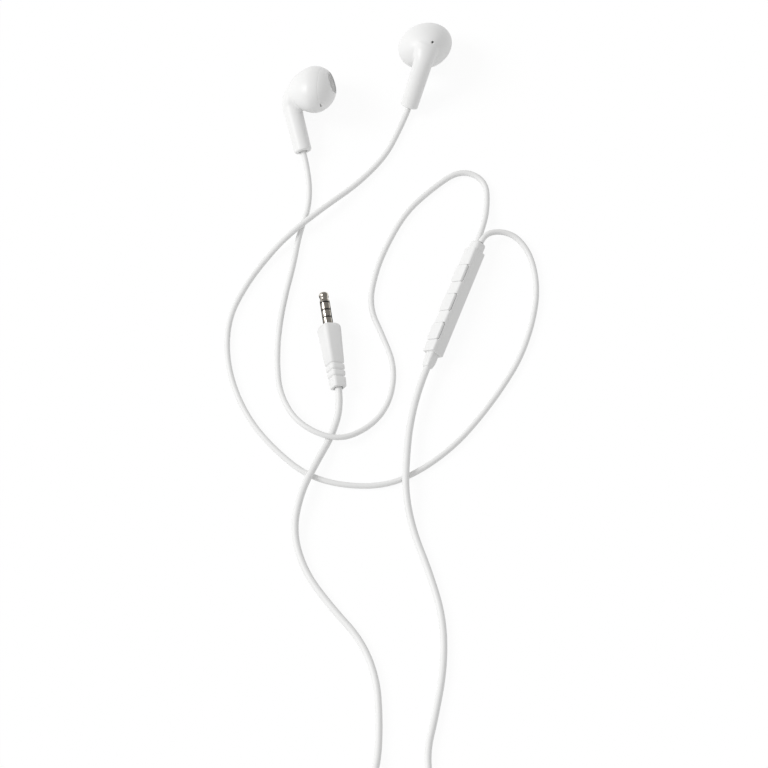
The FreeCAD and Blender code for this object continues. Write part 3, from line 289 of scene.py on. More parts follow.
SHELL_WHITE = plastic("polished_shell", ((0.86, 0.86, 0.855), (0.89, 0.89, 0.885)), (0.40, 0.50),
                      speck_tone=(0.83, 0.83, 0.825), relief=0.15, coat=0.10)
REMOTE_WHITE = plastic("satin_remote", ((0.85, 0.85, 0.845), (0.88, 0.88, 0.875)), (0.38, 0.48),
                       grain=6000, relief=0.35)
CORD_WHITE = plastic("soft_cord", ((0.84, 0.84, 0.835), (0.88, 0.88, 0.875)), (0.42, 0.56),
                     cloud=60, grain=2500, relief=0.3)
SOFT_WHITE = plastic("soft_moulding", ((0.84, 0.84, 0.835), (0.88, 0.88, 0.875)), (0.45, 0.60),
                     grain=3500, relief=0.4)
BAND_BLACK = plastic("band_black", ((0.012, 0.012, 0.012), (0.03, 0.03, 0.03)), (0.25, 0.4),
                     relief=0.2)
NYLON_DARK = plastic("driver_nylon", ((0.05, 0.05, 0.055), (0.09, 0.09, 0.095)), (0.5, 0.7),
                     relief=0.5)
FILM = plastic("clear_film", ((0.62, 0.58, 0.48), (0.72, 0.69, 0.60)), (0.15, 0.3), relief=0.2)
BOARD_GREEN = plastic("board_mask", ((0.01, 0.12, 0.05), (0.02, 0.20, 0.09)), (0.3, 0.45),
                      cloud=900, speck=900, speck_tone=(0.65, 0.55, 0.25), relief=0.5)
print("plastics", 8)

# %% [markdown]
# Metal is the same idea with lines in place of grain. The lines cross the turning axis of a
# contact, follow a pressed plate, or pack close as the turns of a coil.


# %% Metal finishes
def metal(name, tones, roughness, along=(1, 0, 0), scale=3000, relief=0.15, line_depth=0.004):
    material, tree = new_material(name)
    place = add(tree, "TexCoord")
    turn = add(tree, "Mapping")
    turn.vector_type = "TEXTURE"
    turn.inputs["Rotation"].default_value = Vector(along).to_track_quat("X", "Z").to_euler()
    group = add(tree, "Group")
    group.node_tree = drawn
    group.inputs["Scale"].default_value = scale
    join(tree, (place, "Object", turn, "Vector"), (turn, "Vector", group, "Vector"))
    shader = cover(tree, blend_colours(tree, (group, "Patches"), *tones),
                   ramp(tree, (group, "Lines"), *roughness), (group, "Lines"), relief, line_depth)
    shader.inputs["Metallic"].default_value = 1.0
    return material


# The plug's moulding in mm: half width, where it is reached, half width at the tail, length
PLUG_FULL = 4.15
FULL_AT = 1.6
TAIL = 2.9
PLUG_LENGTH = 24.0
PLUG_TAPER = (PLUG_FULL - TAIL) / (PLUG_LENGTH - FULL_AT)
PLUG_ALONG = (Vector((-0.147, 0.989, 0)).normalized() + Vector((0, 0, PLUG_TAPER))).normalized()
REMOTE_ALONG = Vector((0.3515, 0.936, 0)).normalized()
CONTACT = metal("plated_contact", ((0.66, 0.60, 0.52), (0.82, 0.78, 0.72)), (0.10, 0.24),
                PLUG_ALONG)
GRILLE_STEEL = metal("pierced_steel", ((0.52, 0.52, 0.52), (0.64, 0.64, 0.63)), (0.35, 0.5))
IRON = metal("plated_iron", ((0.42, 0.42, 0.43), (0.56, 0.56, 0.57)), (0.3, 0.5), scale=1500)
MAGNET = metal("plated_magnet", ((0.55, 0.55, 0.56), (0.66, 0.66, 0.67)), (0.15, 0.3), scale=1200)
COPPER = metal("enamelled_copper", ((0.55, 0.24, 0.11), (0.75, 0.38, 0.19)), (0.25, 0.4),
               scale=8000, relief=0.5, line_depth=0.02)
SWITCH_STEEL = metal("pressed_steel", ((0.55, 0.55, 0.55), (0.68, 0.68, 0.68)), (0.2, 0.4),
                     REMOTE_ALONG)
print("metals", 6)

# %% [markdown]
# ## The cords
#
# A cord is one flexible length, so it is one curve with a round section and not a chain of
# tubes. The control points are the lie traced on the table; a curve of order three keeps to
# their straight legs and rounds each corner. Where one cord crosses another, two points lift it
# by the other one's thickness.


# %% Cord helper
def lay_cord(name, points, diameter, material):
    data = bpy.data.curves.new(name, "CURVE")
    data.dimensions = "3D"
    data.resolution_u = 14
    data.bevel_depth = diameter / 2
    data.bevel_resolution = 6
    data.use_fill_caps = True
    spline = data.splines.new("NURBS")
    spline.points.add(len(points) - 1)
    for point, place in zip(spline.points, points):
        point.co = (*place, 1)
    spline.order_u = 3
    spline.use_endpoint_u = True
    cord = bpy.data.objects.new(name, data)
    scene.collection.objects.link(cord)
    data.materials.append(material)
    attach(cord, "earphones")
    return cord


TABLE_SHIFT = Vector((-0.575, -0.75, 0)) * MM


def in_metres(points, diameter):
    """Points in mm, moved to the part's own zero. One without a height lies on the table."""
    low = diameter / 2 / MM
    return [Vector((*point, low)[:3]) * MM + TABLE_SHIFT for point in points]


BRANCH = 2.0 * MM
MAIN = 2.5 * MM

# %% [markdown]
# The left branch leaves the left stem, swings down and under the plug's cord, and comes back up
# in an S to the fork at the top of the remote. The right branch runs round the outside in one
# big loop. Lengths are those measured along the photographed lie.

# %% Left and right branch
LEFT_OVER = 3.7
RIGHT_OVER = 3.2
left_points = in_metres([
    (-27.99, 20.26, 3.08), (-25.84, 11.64, 1.64), (-25.6, -0.6), (-29.2, -11.4), (-31.3, -24.0),
    (-34.3, -36.2), (-36.4, -48.8), (-37.0, -61.6), (-35.9, -74.0), (-29.4, -86.8, LEFT_OVER),
    (-15.6, -93.2, LEFT_OVER), (-3.8, -86.3), (2.9, -76.5), (4.4, -63.0), (0.2, -51.4),
    (-4.7, -39.7), (-2.4, -26.2), (2.1, -14.7), (8.3, -3.2), (16.6, 5.2), (27.4, 13.6),
    (36.6, 9.2), (36.9, -1.8, 1.3), (35.4, -10.11, 2.87), (33.15, -16.1, 2.87)], BRANCH)
right_points = in_metres([
    (9.63, 37.96, 2.7), (8.87, 36.07, 1.09), (5.2, 27.2), (0.6, 18.0), (-9.2, 7.2, 1.4),
    (-19.2, -1.2, RIGHT_OVER), (-33.0, -12.8, RIGHT_OVER), (-41.4, -22.0, 1.2), (-48.2, -32.0),
    (-53.9, -44.1), (-54.8, -58.3), (-52.0, -71.9), (-46.0, -84.9), (-37.4, -95.6),
    (-26.6, -105.2), (-13.6, -109.2), (1.2, -109.2), (13.1, -103.6), (24.7, -94.4),
    (33.4, -84.0), (41.5, -72.2), (48.3, -60.2), (52.7, -46.6), (54.6, -33.3),
    (52.6, -20.8, 1.2), (47.6, -13.2, 1.8), (41.6, -11.3, 2.9), (35.87, -13.27, 4.43),
    (34.6, -16.64, 4.43)], BRANCH)
for side, points, length in (("left", left_points, 0.287), ("right", right_points, 0.339)):
    cord = lay_cord(side + "_branch_cord", points, BRANCH, CORD_WHITE)
    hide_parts(side + "_cord")
print("branch cords", len(left_points), "and", len(right_points), "points")

# %% [markdown]
# The main cord runs from the remote, out of the picture, and back to the plug. What the
# photograph doesn't show is put away as a small hank under a tie: six runs in two layers, drawn
# in at the waist. A run and its fold come from a formula, so the turns lie alike. At a fold the
# points stand a little outside the half circle, where the curve's legs touch it.

# %% Main cord with its hank
MAIN_OVER = 3.45
LOW = 1.25
HIGH = 4.25
HANK_MIDDLE = (6.5, -264.0)
HANK_HALF_RUN = 24.89
INNER_RUN = 7.5
OUTER_RUN = 10.6
RUN_STEP = 3.1
INNER_WAIST = 1.75
WAIST_STEP = 3.2
HANK_RUNS = ((OUTER_RUN, LOW, LOW), (-9.05, LOW, LOW), (INNER_RUN, LOW, HIGH),
             (-INNER_RUN, HIGH, HIGH), (OUTER_RUN, HIGH, HIGH), (-OUTER_RUN, HIGH, HIGH))
RUN_END = 0.88
TIE_SIDE = 0.16
STRAP = 0.6


def waist(x):
    """How far off the middle a run passes the tie, from how far off it lies elsewhere."""
    return math.copysign(INNER_WAIST + (abs(x) - INNER_RUN) * WAIST_STEP / RUN_STEP, x)


def way_of(number):
    """The runs go down and up the hank in turn."""
    return -1 if number % 2 == 0 else 1


def run_points(number):
    x, start_z, end_z = HANK_RUNS[number]
    reach = way_of(number) * HANK_HALF_RUN
    points = []
    for along in (-RUN_END, -TIE_SIDE, TIE_SIDE, RUN_END):
        drawn_in = abs(along) == TIE_SIDE
        share = (along / RUN_END + 1) / 2
        height = start_z + (end_z - start_z) * share + (STRAP if drawn_in else 0)
        across = waist(x) if drawn_in else x
        points.append((HANK_MIDDLE[0] + across, HANK_MIDDLE[1] + reach * along, height))
    return points


def fold_points(number):
    x, _, z = HANK_RUNS[number]
    next_x, next_z, _ = HANK_RUNS[number + 1]
    middle = HANK_MIDDLE[0] + (x + next_x) / 2
    reach = (x - next_x) / 2 / math.cos(math.radians(22.5))
    points = []
    for turn in (22.5, 67.5, 112.5, 157.5):
        angle = math.radians(turn)
        out = abs(reach) * math.sin(angle)
        height = z + (next_z - z) * turn / 180
        points.append((middle + reach * math.cos(angle),
                       HANK_MIDDLE[1] + way_of(number) * (HANK_HALF_RUN + out), height))
    return points


upper = [
    (15.77, -64.58, 3.65), (12.61, -73.01, 3.65), (9.6, -86.6, 2.9), (8.5, -98.8, MAIN_OVER),
    (8.0, -112.4, MAIN_OVER), (10.6, -126.4), (16.6, -142.9), (21.4, -160.6), (21.6, -179.6),
    (18.4, -198.6), (15.4, -212.4), (17.1, -227.0), (17.1, -239.0)]
lower = [
    (-4.1, -239.0, HIGH), (-4.1, -227.0, HIGH), (-1.4, -214.2), (-1.0, -198.6), (-2.0, -183.4),
    (-7.2, -169.0), (-17.6, -156.4), (-27.0, -142.9), (-31.4, -127.6, 1.9),
    (-28.6, -112.6, MAIN_OVER), (-22.4, -99.4, 2.4), (-17.6, -89.6), (-14.44, -78.62, 2.55),
    (-15.67, -70.33, 3.02)]
hank = []
for number in range(len(HANK_RUNS)):
    hank += run_points(number)
    if number + 1 < len(HANK_RUNS):
        hank += fold_points(number)
main_points = in_metres(upper + hank + lower, MAIN)
main_cord = lay_cord("main_cord", main_points, MAIN, CORD_WHITE)
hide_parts("main_cord_upper", "main_cord_hank", "main_cord_lower")
print("main cord", len(main_points), "points")

# %% [markdown]
# ## Shop habits
#
# The loaded solids come in selected, and an operator acts on everything selected, so each step
# starts by choosing one piece. Faces, edges and corners are chosen by where they are. A tool
# that is cut out of a piece is used up by the cut. A cut by a plane takes corners closer than a
# tenth of a millimetre for its own and folds the rim, unless it is told a smaller reach.


# %% Choosing and cutting
import bmesh

HAIR = 0.002 * MM
X_AXIS = Vector((1, 0, 0))


def only(piece):
    if bpy.context.object is not None and bpy.context.object.mode != "OBJECT":
        bpy.ops.object.mode_set(mode="OBJECT")
    bpy.ops.object.select_all(action="DESELECT")
    piece.select_set(True)
    bpy.context.view_layer.objects.active = piece


def nothing_chosen():
    bpy.ops.object.select_all(action="DESELECT")


def edit(piece=None):
    """Open the mesh of a piece, or of the active one, with everything chosen."""
    if piece is not None:
        only(piece)
    bpy.ops.object.mode_set(mode="EDIT")
    bpy.ops.mesh.select_all(action="SELECT")


def done():
    bpy.ops.object.mode_set(mode="OBJECT")


def pick(piece, kind, test):
    """In edit mode, choose the VERT, EDGE or FACE items that pass the test."""
    bpy.ops.mesh.select_mode(type=kind)
    bpy.ops.mesh.select_all(action="DESELECT")
    mesh = bmesh.from_edit_mesh(piece.data)
    items = {"VERT": mesh.verts, "EDGE": mesh.edges, "FACE": mesh.faces}[kind]
    for item in items:
        if test(item):
            item.select_set(True)
    bmesh.update_edit_mesh(piece.data)


def pick_along(piece, axis):
    """Choose the edges that run along X, Y or Z (0, 1 or 2)."""
    pick(piece, "EDGE", lambda edge: abs(edge.verts[0].co[axis] - edge.verts[1].co[axis]) > HAIR)


def round_edges(offset, segments):
    bpy.ops.mesh.bevel(offset=offset, segments=segments, affect="EDGES")


def face_outward():
    bpy.ops.mesh.select_all(action="SELECT")
    bpy.ops.mesh.normals_make_consistent(inside=False)


def slice_flat(place, normal, **ends):
    """Cut the open mesh by a plane and close or keep its ends."""
    bpy.ops.mesh.select_all(action="SELECT")
    bpy.ops.mesh.bisect(threshold=HAIR, plane_co=place, plane_no=normal, **ends)


def bake_place(piece):
    only(piece)
    bpy.ops.object.transform_apply(location=True, rotation=True, scale=True)


def fresh(make, scale=(1, 1, 1), **settings):
    """A new simple form, with its place and scale baked in."""
    nothing_chosen()
    make(**settings)
    piece = bpy.context.object
    piece.scale = scale
    bake_place(piece)
    return piece


def carve(piece, tool, action="DIFFERENCE"):
    only(piece)
    step = piece.modifiers.new("carve", "BOOLEAN")
    step.operation = action
    step.solver = "EXACT"
    step.object = tool
    bpy.ops.object.modifier_apply(modifier=step.name)
    bpy.data.objects.remove(tool)


def smooth(piece, rounds, group=""):
    only(piece)
    step = piece.modifiers.new("smooth", "SMOOTH")
    step.factor = 0.5
    step.iterations = rounds
    step.vertex_group = group
    bpy.ops.object.modifier_apply(modifier=step.name)


def soften(piece, width, segments=3, sharper_than=40):
    """Round every edge sharper than an angle in degrees."""
    only(piece)
    step = piece.modifiers.new("soften", "BEVEL")
    step.width = width
    step.segments = segments
    step.angle_limit = math.radians(sharper_than)
    bpy.ops.object.modifier_apply(modifier=step.name)


def volume(piece):
    """The closed piece's volume in cubic millimetres."""
    mesh = bmesh.new()
    mesh.from_mesh(piece.data)
    result = mesh.calc_volume() / MM ** 3
    mesh.free()
    return round(result, 1)


def rod(radius, start, end, sides=64, end_radius=None):
    """A round tool between two points."""
    along = end - start
    return fresh(
        bpy.ops.mesh.primitive_cone_add, vertices=sides, radius1=radius,
        radius2=radius if end_radius is None else end_radius, depth=along.length,
        location=(start + end) / 2, rotation=along.to_track_quat("Z", "Y").to_euler())


def block(low, high):
    """A box between two corners."""
    low, high = Vector(low), Vector(high)
    return fresh(bpy.ops.mesh.primitive_cube_add, high - low, size=1, location=(low + high) / 2)


def dress(piece, name, finish, node, place=None, body="earphones", sharp=35):
    """Name a piece, give it its finish and place, and hide the solid that it stands for."""
    material, slot = finish
    if place is not None:
        only(piece)
        piece.matrix_world = place
        bake_place(piece)
    only(piece)
    bpy.ops.object.shade_smooth_by_angle(angle=math.radians(sharp))
    piece.name = name
    piece.data.name = name
    piece.data.materials.clear()
    piece.data.materials.append(material)
    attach(piece, body)
    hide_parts(node)


def bore(piece, rooms, sides=64):
    """Cut round rooms along X, each with a radius, a back and a front in mm."""
    for radius, back, front in rooms:
        carve(piece, rod(radius * MM, X_AXIS * back * MM, X_AXIS * front * MM, sides))


def pose(origin, forward, up):
    """A frame at a point: X forward, Z up."""
    turn = Matrix((forward, up.cross(forward), up)).transposed().to_4x4()
    return Matrix.Translation(origin) @ turn


print("helpers ready")

# %% [markdown]
# ## The earbuds
#
# An earbud of this kind is an egg with an oval section, set askew on a leaning stem. It is
# modelled in its own frame: X points out of the ear side, Z up the stem. The left and the right
# one mirror each other, so a hand of 1 or -1 turns the oval. A ball with its poles on X is
# stretched to the two different ends, which keeps its rings in line with the seam. The back half
# is slimmed ring by ring towards a soft cone, because the shell draws in behind the driver.

# %% Head
HEAD_LONG = 9.71 * MM
HEAD_SHORT = 7.945 * MM
HEAD_ASKEW = math.radians(52)
HEAD_BACK = 9.9 * MM
HEAD_FRONT = 7.85 * MM
CONE = 1.6
SEAM = 3.4 * MM


def egg(hand):
    head = fresh(bpy.ops.mesh.primitive_uv_sphere_add, segments=96, ring_count=64, radius=1,
                 rotation=(0, math.pi / 2, 0))
    for corner in head.data.vertices:
        behind = -corner.co.x
        if 0 < behind < 0.9999:
            slim = (1 - behind ** CONE) ** (1 / CONE) / math.sqrt(1 - behind ** 2)
            corner.co.y *= slim
            corner.co.z *= slim
    edit()
    pick(head, "VERT", lambda corner: corner.co.x < -1e-4)
    bpy.ops.transform.resize(value=(HEAD_BACK, 1, 1), center_override=(0, 0, 0))
    pick(head, "VERT", lambda corner: corner.co.x > 1e-4)
    bpy.ops.transform.resize(value=(HEAD_FRONT, 1, 1), center_override=(0, 0, 0))
    done()
    head.scale = (1, HEAD_SHORT, HEAD_LONG)
    bake_place(head)
    head.rotation_euler = (hand * HEAD_ASKEW, 0, 0)
    bake_place(head)
    return head


STEM_LEAN = math.radians(13.5)
STEM_UP = Vector((-math.sin(STEM_LEAN), 0, math.cos(STEM_LEAN)))
STEM_FORWARD = Vector((math.cos(STEM_LEAN), 0, math.sin(STEM_LEAN)))
STEM_END = Vector((-4.26, 0, -22.1)) * MM

# %% [markdown]
# The stem is a slightly tapered rod with a softened end. Past its straight part it leans forward
# into the head like an elbow and widens. In the mould the two flow together in a soft hollow,
# which no bevel of two crossing skins gives cleanly. So head and stem are joined, remeshed as one
# skin of small squares, and the crease between them is smoothed until it rounds out. Smoothing
# also eats what bulges, so a corner that it has pulled inward is moved out again.


# %% Head and stem in one skin
SKIN_STEP = 0.17 * MM
CREASE_REACH = 3.2 * MM
CREASE_ROUNDS = 200
SKIN_ROUNDS = 8

# Stations of the stem: place along it, shift forward and radius, all in mm
STEM_STATIONS = ((0, 0, 2.65), (0.1, 0, 2.85), (0.4, 0, 3.05), (16.8, 0, 3.35),
                 (18.0, 0.3, 3.56), (19.3, 0.85, 3.8), (20.5, 1.5, 3.97), (21.6, 2.2, 4.1),
                 (23.4, 3.7, 4.2), (25.0, 5.2, 3.6))


def on_stem(place, shift):
    return STEM_END + (STEM_UP * place + STEM_FORWARD * shift) * MM


def stem():
    last_place, last_shift, last_radius = STEM_STATIONS[0]
    piece = fresh(bpy.ops.mesh.primitive_circle_add, vertices=64, radius=last_radius * MM,
                  fill_type="NGON", location=STEM_END,
                  rotation=STEM_UP.to_track_quat("Z", "Y").to_euler())
    edit()
    for place, shift, radius in STEM_STATIONS[1:]:
        step = (STEM_UP * (place - last_place) + STEM_FORWARD * (shift - last_shift)) * MM
        bpy.ops.mesh.extrude_region_move(TRANSFORM_OT_translate={"value": step})
        grow = radius / last_radius
        bpy.ops.transform.resize(value=(grow, grow, grow), center_override=on_stem(place, shift))
        last_place, last_shift, last_radius = place, shift, radius
    face_outward()
    done()
    return piece


def off_head(point, hand):
    """Rough distance of a point from the egg's skin."""
    turned = Matrix.Rotation(-hand * HEAD_ASKEW, 3, "X") @ point
    reach, power = (HEAD_FRONT, 2) if point.x > 0 else (HEAD_BACK, CONE)
    around = math.hypot(turned.y / HEAD_SHORT, turned.z / HEAD_LONG)
    share = (abs(turned.x / reach) ** power + around ** power) ** (1 / power)
    return abs(share - 1) * HEAD_SHORT


def off_stem(point):
    """Rough distance of a point from the stem's skin, by balls along it."""
    best = 1.0
    for start, end in zip(STEM_STATIONS[2:], STEM_STATIONS[3:]):
        for share in (0, 0.2, 0.4, 0.6, 0.8, 1):
            place, shift, radius = (a + (b - a) * share for a, b in zip(start, end))
            best = min(best, (point - on_stem(place, shift)).length - radius * MM)
    return abs(best)


def bud_skin(hand):
    piece = egg(hand)
    leg = stem()
    only(piece)
    leg.select_set(True)
    bpy.ops.object.join()
    skin = piece.modifiers.new("skin", "REMESH")
    skin.mode = "VOXEL"
    skin.voxel_size = SKIN_STEP
    bpy.ops.object.modifier_apply(modifier=skin.name)
    crease = piece.vertex_groups.new(name="crease")
    for corner in piece.data.vertices:
        away = max(off_head(corner.co, hand), off_stem(corner.co))
        if away < CREASE_REACH:
            crease.add([corner.index], 1 - away / CREASE_REACH, "REPLACE")
    before = [(corner.co.copy(), corner.normal.copy()) for corner in piece.data.vertices]
    smooth(piece, CREASE_ROUNDS, crease.name)
    for corner, (place, outward) in zip(piece.data.vertices, before):
        moved = (corner.co - place).dot(outward)
        if moved < 0:
            corner.co -= outward * moved
    smooth(piece, SKIN_ROUNDS)
    piece.vertex_groups.clear()
    return piece


# %% [markdown]
# The rear shell is that skin up to the seam. Its rim is drawn in by a hair so that the seam
# reads as a fine line. Then the room for the driver, the pocket behind it, the magnet's room, the
# stem's bore and the channel between them are cut out, and last the pinhole, flared like a real
# one.


# %% Rear shell
SEAM_DRAW = 0.07 * MM
SEAM_BAND = 0.16 * MM
NUDGE = 1.0 * MM
PINHOLE = Vector((0, -1.16, 2.12)) * MM
PINHOLE_RADIUS = 0.42 * MM
PINHOLE_END = 6.0 * MM
FLARE_AT = 9.0 * MM
FLARE_WIDE = 0.85 * MM
FLARE_NARROW = 0.3 * MM
FLARE_BACK = 0.5 * MM
FLARE_DEEP = 0.25 * MM
REAR_ROOMS = ((6.6, 2.0, 4.4), (5.95, -3.0, 2.5), (3.5, -6.6, -2.5))
BORE_RADIUS = 1.6 * MM
BORE_TOP = 17.5
CHANNEL_RADIUS = 1.1 * MM
CHANNEL_BEND = 17.0
CHANNEL_AIM = Vector((-5.4, 0, -1.2)) * MM
CHANNEL_PAST = 0.5


def draw_in_rim(piece, inward):
    """Cut a narrow band beside the seam and draw it in, most at the seam itself."""
    edit()
    slice_flat((SEAM + inward * SEAM_BAND, 0, 0), X_AXIS)
    done()
    for corner in piece.data.vertices:
        near = 1 - abs(corner.co.x - SEAM) / SEAM_BAND
        if near > 0:
            share = 1 - near * SEAM_DRAW / HEAD_SHORT
            corner.co.y *= share
            corner.co.z *= share


def rear_shell(hand):
    piece = bud_skin(hand)
    edit(piece)
    slice_flat((SEAM, 0, 0), X_AXIS, use_fill=True, clear_outer=True)
    done()
    draw_in_rim(piece, -1)
    bore(piece, REAR_ROOMS)
    carve(piece, rod(BORE_RADIUS, STEM_END - STEM_UP * NUDGE, on_stem(BORE_TOP, 0), sides=48))
    bend = on_stem(CHANNEL_BEND, 0)
    past = (CHANNEL_AIM - bend).normalized() * CHANNEL_PAST * MM
    carve(piece, rod(CHANNEL_RADIUS, bend, CHANNEL_AIM + past, sides=32))
    eye = Vector((0, PINHOLE.y * hand, PINHOLE.z))
    outside = eye - X_AXIS * (HEAD_BACK + NUDGE)
    carve(piece, rod(PINHOLE_RADIUS, outside, eye - X_AXIS * PINHOLE_END, sides=32))
    flare = eye - X_AXIS * FLARE_AT
    carve(piece, rod(FLARE_WIDE, flare - X_AXIS * FLARE_BACK, flare + X_AXIS * FLARE_DEEP,
                     sides=32, end_radius=FLARE_NARROW))
    print("rear shell", "left" if hand < 0 else "right", len(piece.data.polygons), "faces",
          volume(piece), "mm3")
    return piece


# %% [markdown]
# The front shell is the egg's front, cut off by the slanted nozzle. It is a clean shape without a
# blend, so it keeps the ball's own rings. Where the slanted cut crosses them it leaves some very
# short edges. They are merged first, because a bevel folds over them. The nozzle's edge is
# softened, the throat and the oval seat for the grille are cut, and a small slot in the seam
# lets the front room breathe. A front shell that has lost its body to a cut has too little
# volume, so the volume is printed.


# %% Front shell
NOZZLE_RISE = math.radians(14.5)
NOZZLE = Vector((math.cos(NOZZLE_RISE), 0, math.sin(NOZZLE_RISE)))
NOZZLE_UP = Vector((-math.sin(NOZZLE_RISE), 0, math.cos(NOZZLE_RISE)))
NOZZLE_REACH = 6.82 * MM
NOZZLE_RIM = 0.22 * MM
NOZZLE_EDGE = 0.16 * MM
SHORT_EDGE = 0.1 * MM
THROAT = 2.6 * MM
GRILLE_SEAT = 0.6 * MM
GRILLE_LEDGE = 0.5 * MM
VENT_ANGLE = math.radians(-124)
VENT_HALF = 0.75 * MM
VENT_WIDE = 0.4 * MM
VENT_DEEP = 1.2 * MM
VENT_OUT = 0.4 * MM
NEAR_SEAM = 0.2 * MM
FRONT_ROOMS = ((6.15, 2.4, 4.4), (4.9, 4.2, 5.6))


def measure_nozzle(face, piece):
    """Middle, long way, long and short radius of the oval that the slanted cut leaves."""
    corners = [piece.data.vertices[index].co for index in face.vertices]
    ups = [corner.dot(NOZZLE_UP) for corner in corners]
    sides = [corner.y for corner in corners]
    middle = NOZZLE * NOZZLE_REACH + NOZZLE_UP * (max(ups) + min(ups)) / 2
    middle.y = (max(sides) + min(sides)) / 2
    far = max(corners, key=lambda corner: (corner - middle).length) - middle
    near = min(corners, key=lambda corner: (corner - middle).length) - middle
    return middle, far.normalized(), far.length - NOZZLE_RIM, near.length - NOZZLE_RIM


def nozzle_place(nozzle, reach):
    """A frame in the nozzle's oval: X the long way, Z out of the nozzle."""
    middle, long_way = nozzle[:2]
    return pose(middle + NOZZLE * (reach - NOZZLE_REACH), long_way, NOZZLE)


def oval_prism(nozzle, shrink, start, end):
    piece = fresh(bpy.ops.mesh.primitive_cylinder_add,
                  (nozzle[2] - shrink, nozzle[3] - shrink, end - start),
                  vertices=96, radius=1, depth=1)
    piece.matrix_world = nozzle_place(nozzle, (start + end) / 2)
    bake_place(piece)
    return piece


def at_nozzle(corner):
    return abs(corner.co.dot(NOZZLE) - NOZZLE_REACH) < HAIR


def front_shell(hand):
    piece = egg(hand)
    edit(piece)
    slice_flat((SEAM, 0, 0), X_AXIS, use_fill=True, clear_inner=True)
    slice_flat(NOZZLE * NOZZLE_REACH, NOZZLE, use_fill=True, clear_outer=True)
    done()
    cut_face = max(piece.data.polygons,
                   key=lambda face: face.normal.dot(NOZZLE) + face.area / HEAD_LONG ** 2)
    nozzle = measure_nozzle(cut_face, piece)
    edit()
    pick(piece, "VERT", at_nozzle)
    bpy.ops.mesh.remove_doubles(threshold=SHORT_EDGE)
    face_outward()
    pick(piece, "EDGE", lambda edge: all(at_nozzle(corner) for corner in edge.verts))
    round_edges(NOZZLE_EDGE, 3)
    done()
    draw_in_rim(piece, 1)
    bore(piece, FRONT_ROOMS)
    out = NOZZLE_REACH + NUDGE
    carve(piece, oval_prism(nozzle, 0, NOZZLE_REACH - GRILLE_SEAT, out))
    carve(piece, oval_prism(nozzle, GRILLE_LEDGE, NOZZLE_REACH - THROAT, out))
    outward = Vector((0, -hand * math.cos(VENT_ANGLE), math.sin(VENT_ANGLE)))
    rim = max(corner.co.dot(outward) for corner in piece.data.vertices
              if abs(corner.co.x - SEAM) < NEAR_SEAM)
    slot = block((0, -VENT_HALF, rim - VENT_DEEP), (VENT_WIDE, VENT_HALF, rim + VENT_OUT))
    slot.matrix_world = pose(Vector((SEAM, 0, 0)), X_AXIS, outward)
    bake_place(slot)
    carve(piece, slot)
    print("front shell", "left" if hand < 0 else "right", len(piece.data.polygons), "faces",
          volume(piece), "mm3")
    return piece, nozzle


# %% [markdown]
# The grille is a thin oval sheet pierced by a close field of round holes. One punch is made, its
# copies stand in rows a half step apart, and the joined punches cut the sheet in one go.

# %% Grille
GRILLE_THICKNESS = 0.4 * MM
GRILLE_FIT = 0.03 * MM
HOLE_PITCH = 0.72 * MM
HOLE_RADIUS = 0.20 * MM
HOLE_MARGIN = 0.45 * MM


def grille(side, nozzle):
    low = NOZZLE_REACH - GRILLE_SEAT
    sheet = oval_prism(nozzle, GRILLE_FIT, low, low + GRILLE_THICKNESS)
    punch = rod(HOLE_RADIUS, Vector((0, 0, -NUDGE)), Vector((0, 0, NUDGE)), sides=10)
    punches = []
    for row in range(-7, 8):
        for column in range(-8, 9):
            across = HOLE_PITCH * (column + 0.5 * (row % 2))
            up = HOLE_PITCH * row * math.sqrt(3) / 2
            share = math.hypot(across / (nozzle[2] - HOLE_MARGIN), up / (nozzle[3] - HOLE_MARGIN))
            if share < 1:
                copy = punch.copy()
                copy.data = punch.data.copy()
                copy.location = (across, up, 0)
                scene.collection.objects.link(copy)
                punches.append(copy)
    nothing_chosen()
    for copy in punches:
        copy.select_set(True)
    bpy.context.view_layer.objects.active = punches[0]
    bpy.ops.object.join()
    tool = bpy.context.object
    bpy.data.objects.remove(punch)
    bake_place(tool)
    tool.matrix_world = nozzle_place(nozzle, low + GRILLE_THICKNESS / 2)
    bake_place(tool)
    carve(sheet, tool)
    print("grille", side, len(punches), "holes, oval",
          [round(radius / MM, 2) for radius in nozzle[2:]], "mm")
    return sheet


# %% [markdown]
# Each bud lies on the table as the photograph shows it: the stem's heading, its slope and how
# far the head rolls round it. Three angles say that better than a typed matrix. The bud is then
# let down until its lowest corner touches the table.


# %% Both earbuds in place
BUDS = {
    "left": (-1, Vector((-24.0, 40.8, 0)) * MM, -0.8, 13.2, 16.0),
    "right": (1, Vector((15.1, 58.4, 0)) * MM, 17.9, 25.2, -104.0),
}


def bud_pose(middle, heading, slope, roll):
    heading, slope, roll = (math.radians(angle) for angle in (heading, slope, roll))
    up = Vector((math.sin(heading) * math.cos(slope), math.cos(heading) * math.cos(slope),
                 math.sin(slope)))
    level = Vector((math.cos(heading), -math.sin(heading), 0))
    forward = level * math.cos(roll) + level.cross(up) * math.sin(roll)
    return pose(middle + TABLE_SHIFT, forward, up)


for side, (hand, middle, heading, slope, roll) in BUDS.items():
    place = bud_pose(middle, heading, slope, roll)
    rear = rear_shell(hand)
    front, nozzle = front_shell(hand)
    mesh_sheet = grille(side, nozzle)
    corners = [*rear.data.vertices, *front.data.vertices, *mesh_sheet.data.vertices]
    lowest = min((place @ corner.co).z for corner in corners)
    place = Matrix.Translation((0, 0, -lowest)) @ place
    for piece, half in ((rear, "rear"), (front, "front")):
        dress(piece, f"{side}_{half}_housing", (SHELL_WHITE, "shell_white"),
              f"{side}_{half}_shell", place, sharp=40)
    dress(mesh_sheet, side + "_grille_mesh", (GRILLE_STEEL, "grille_metal"), side + "_grille",
          place)
print("earbuds placed")

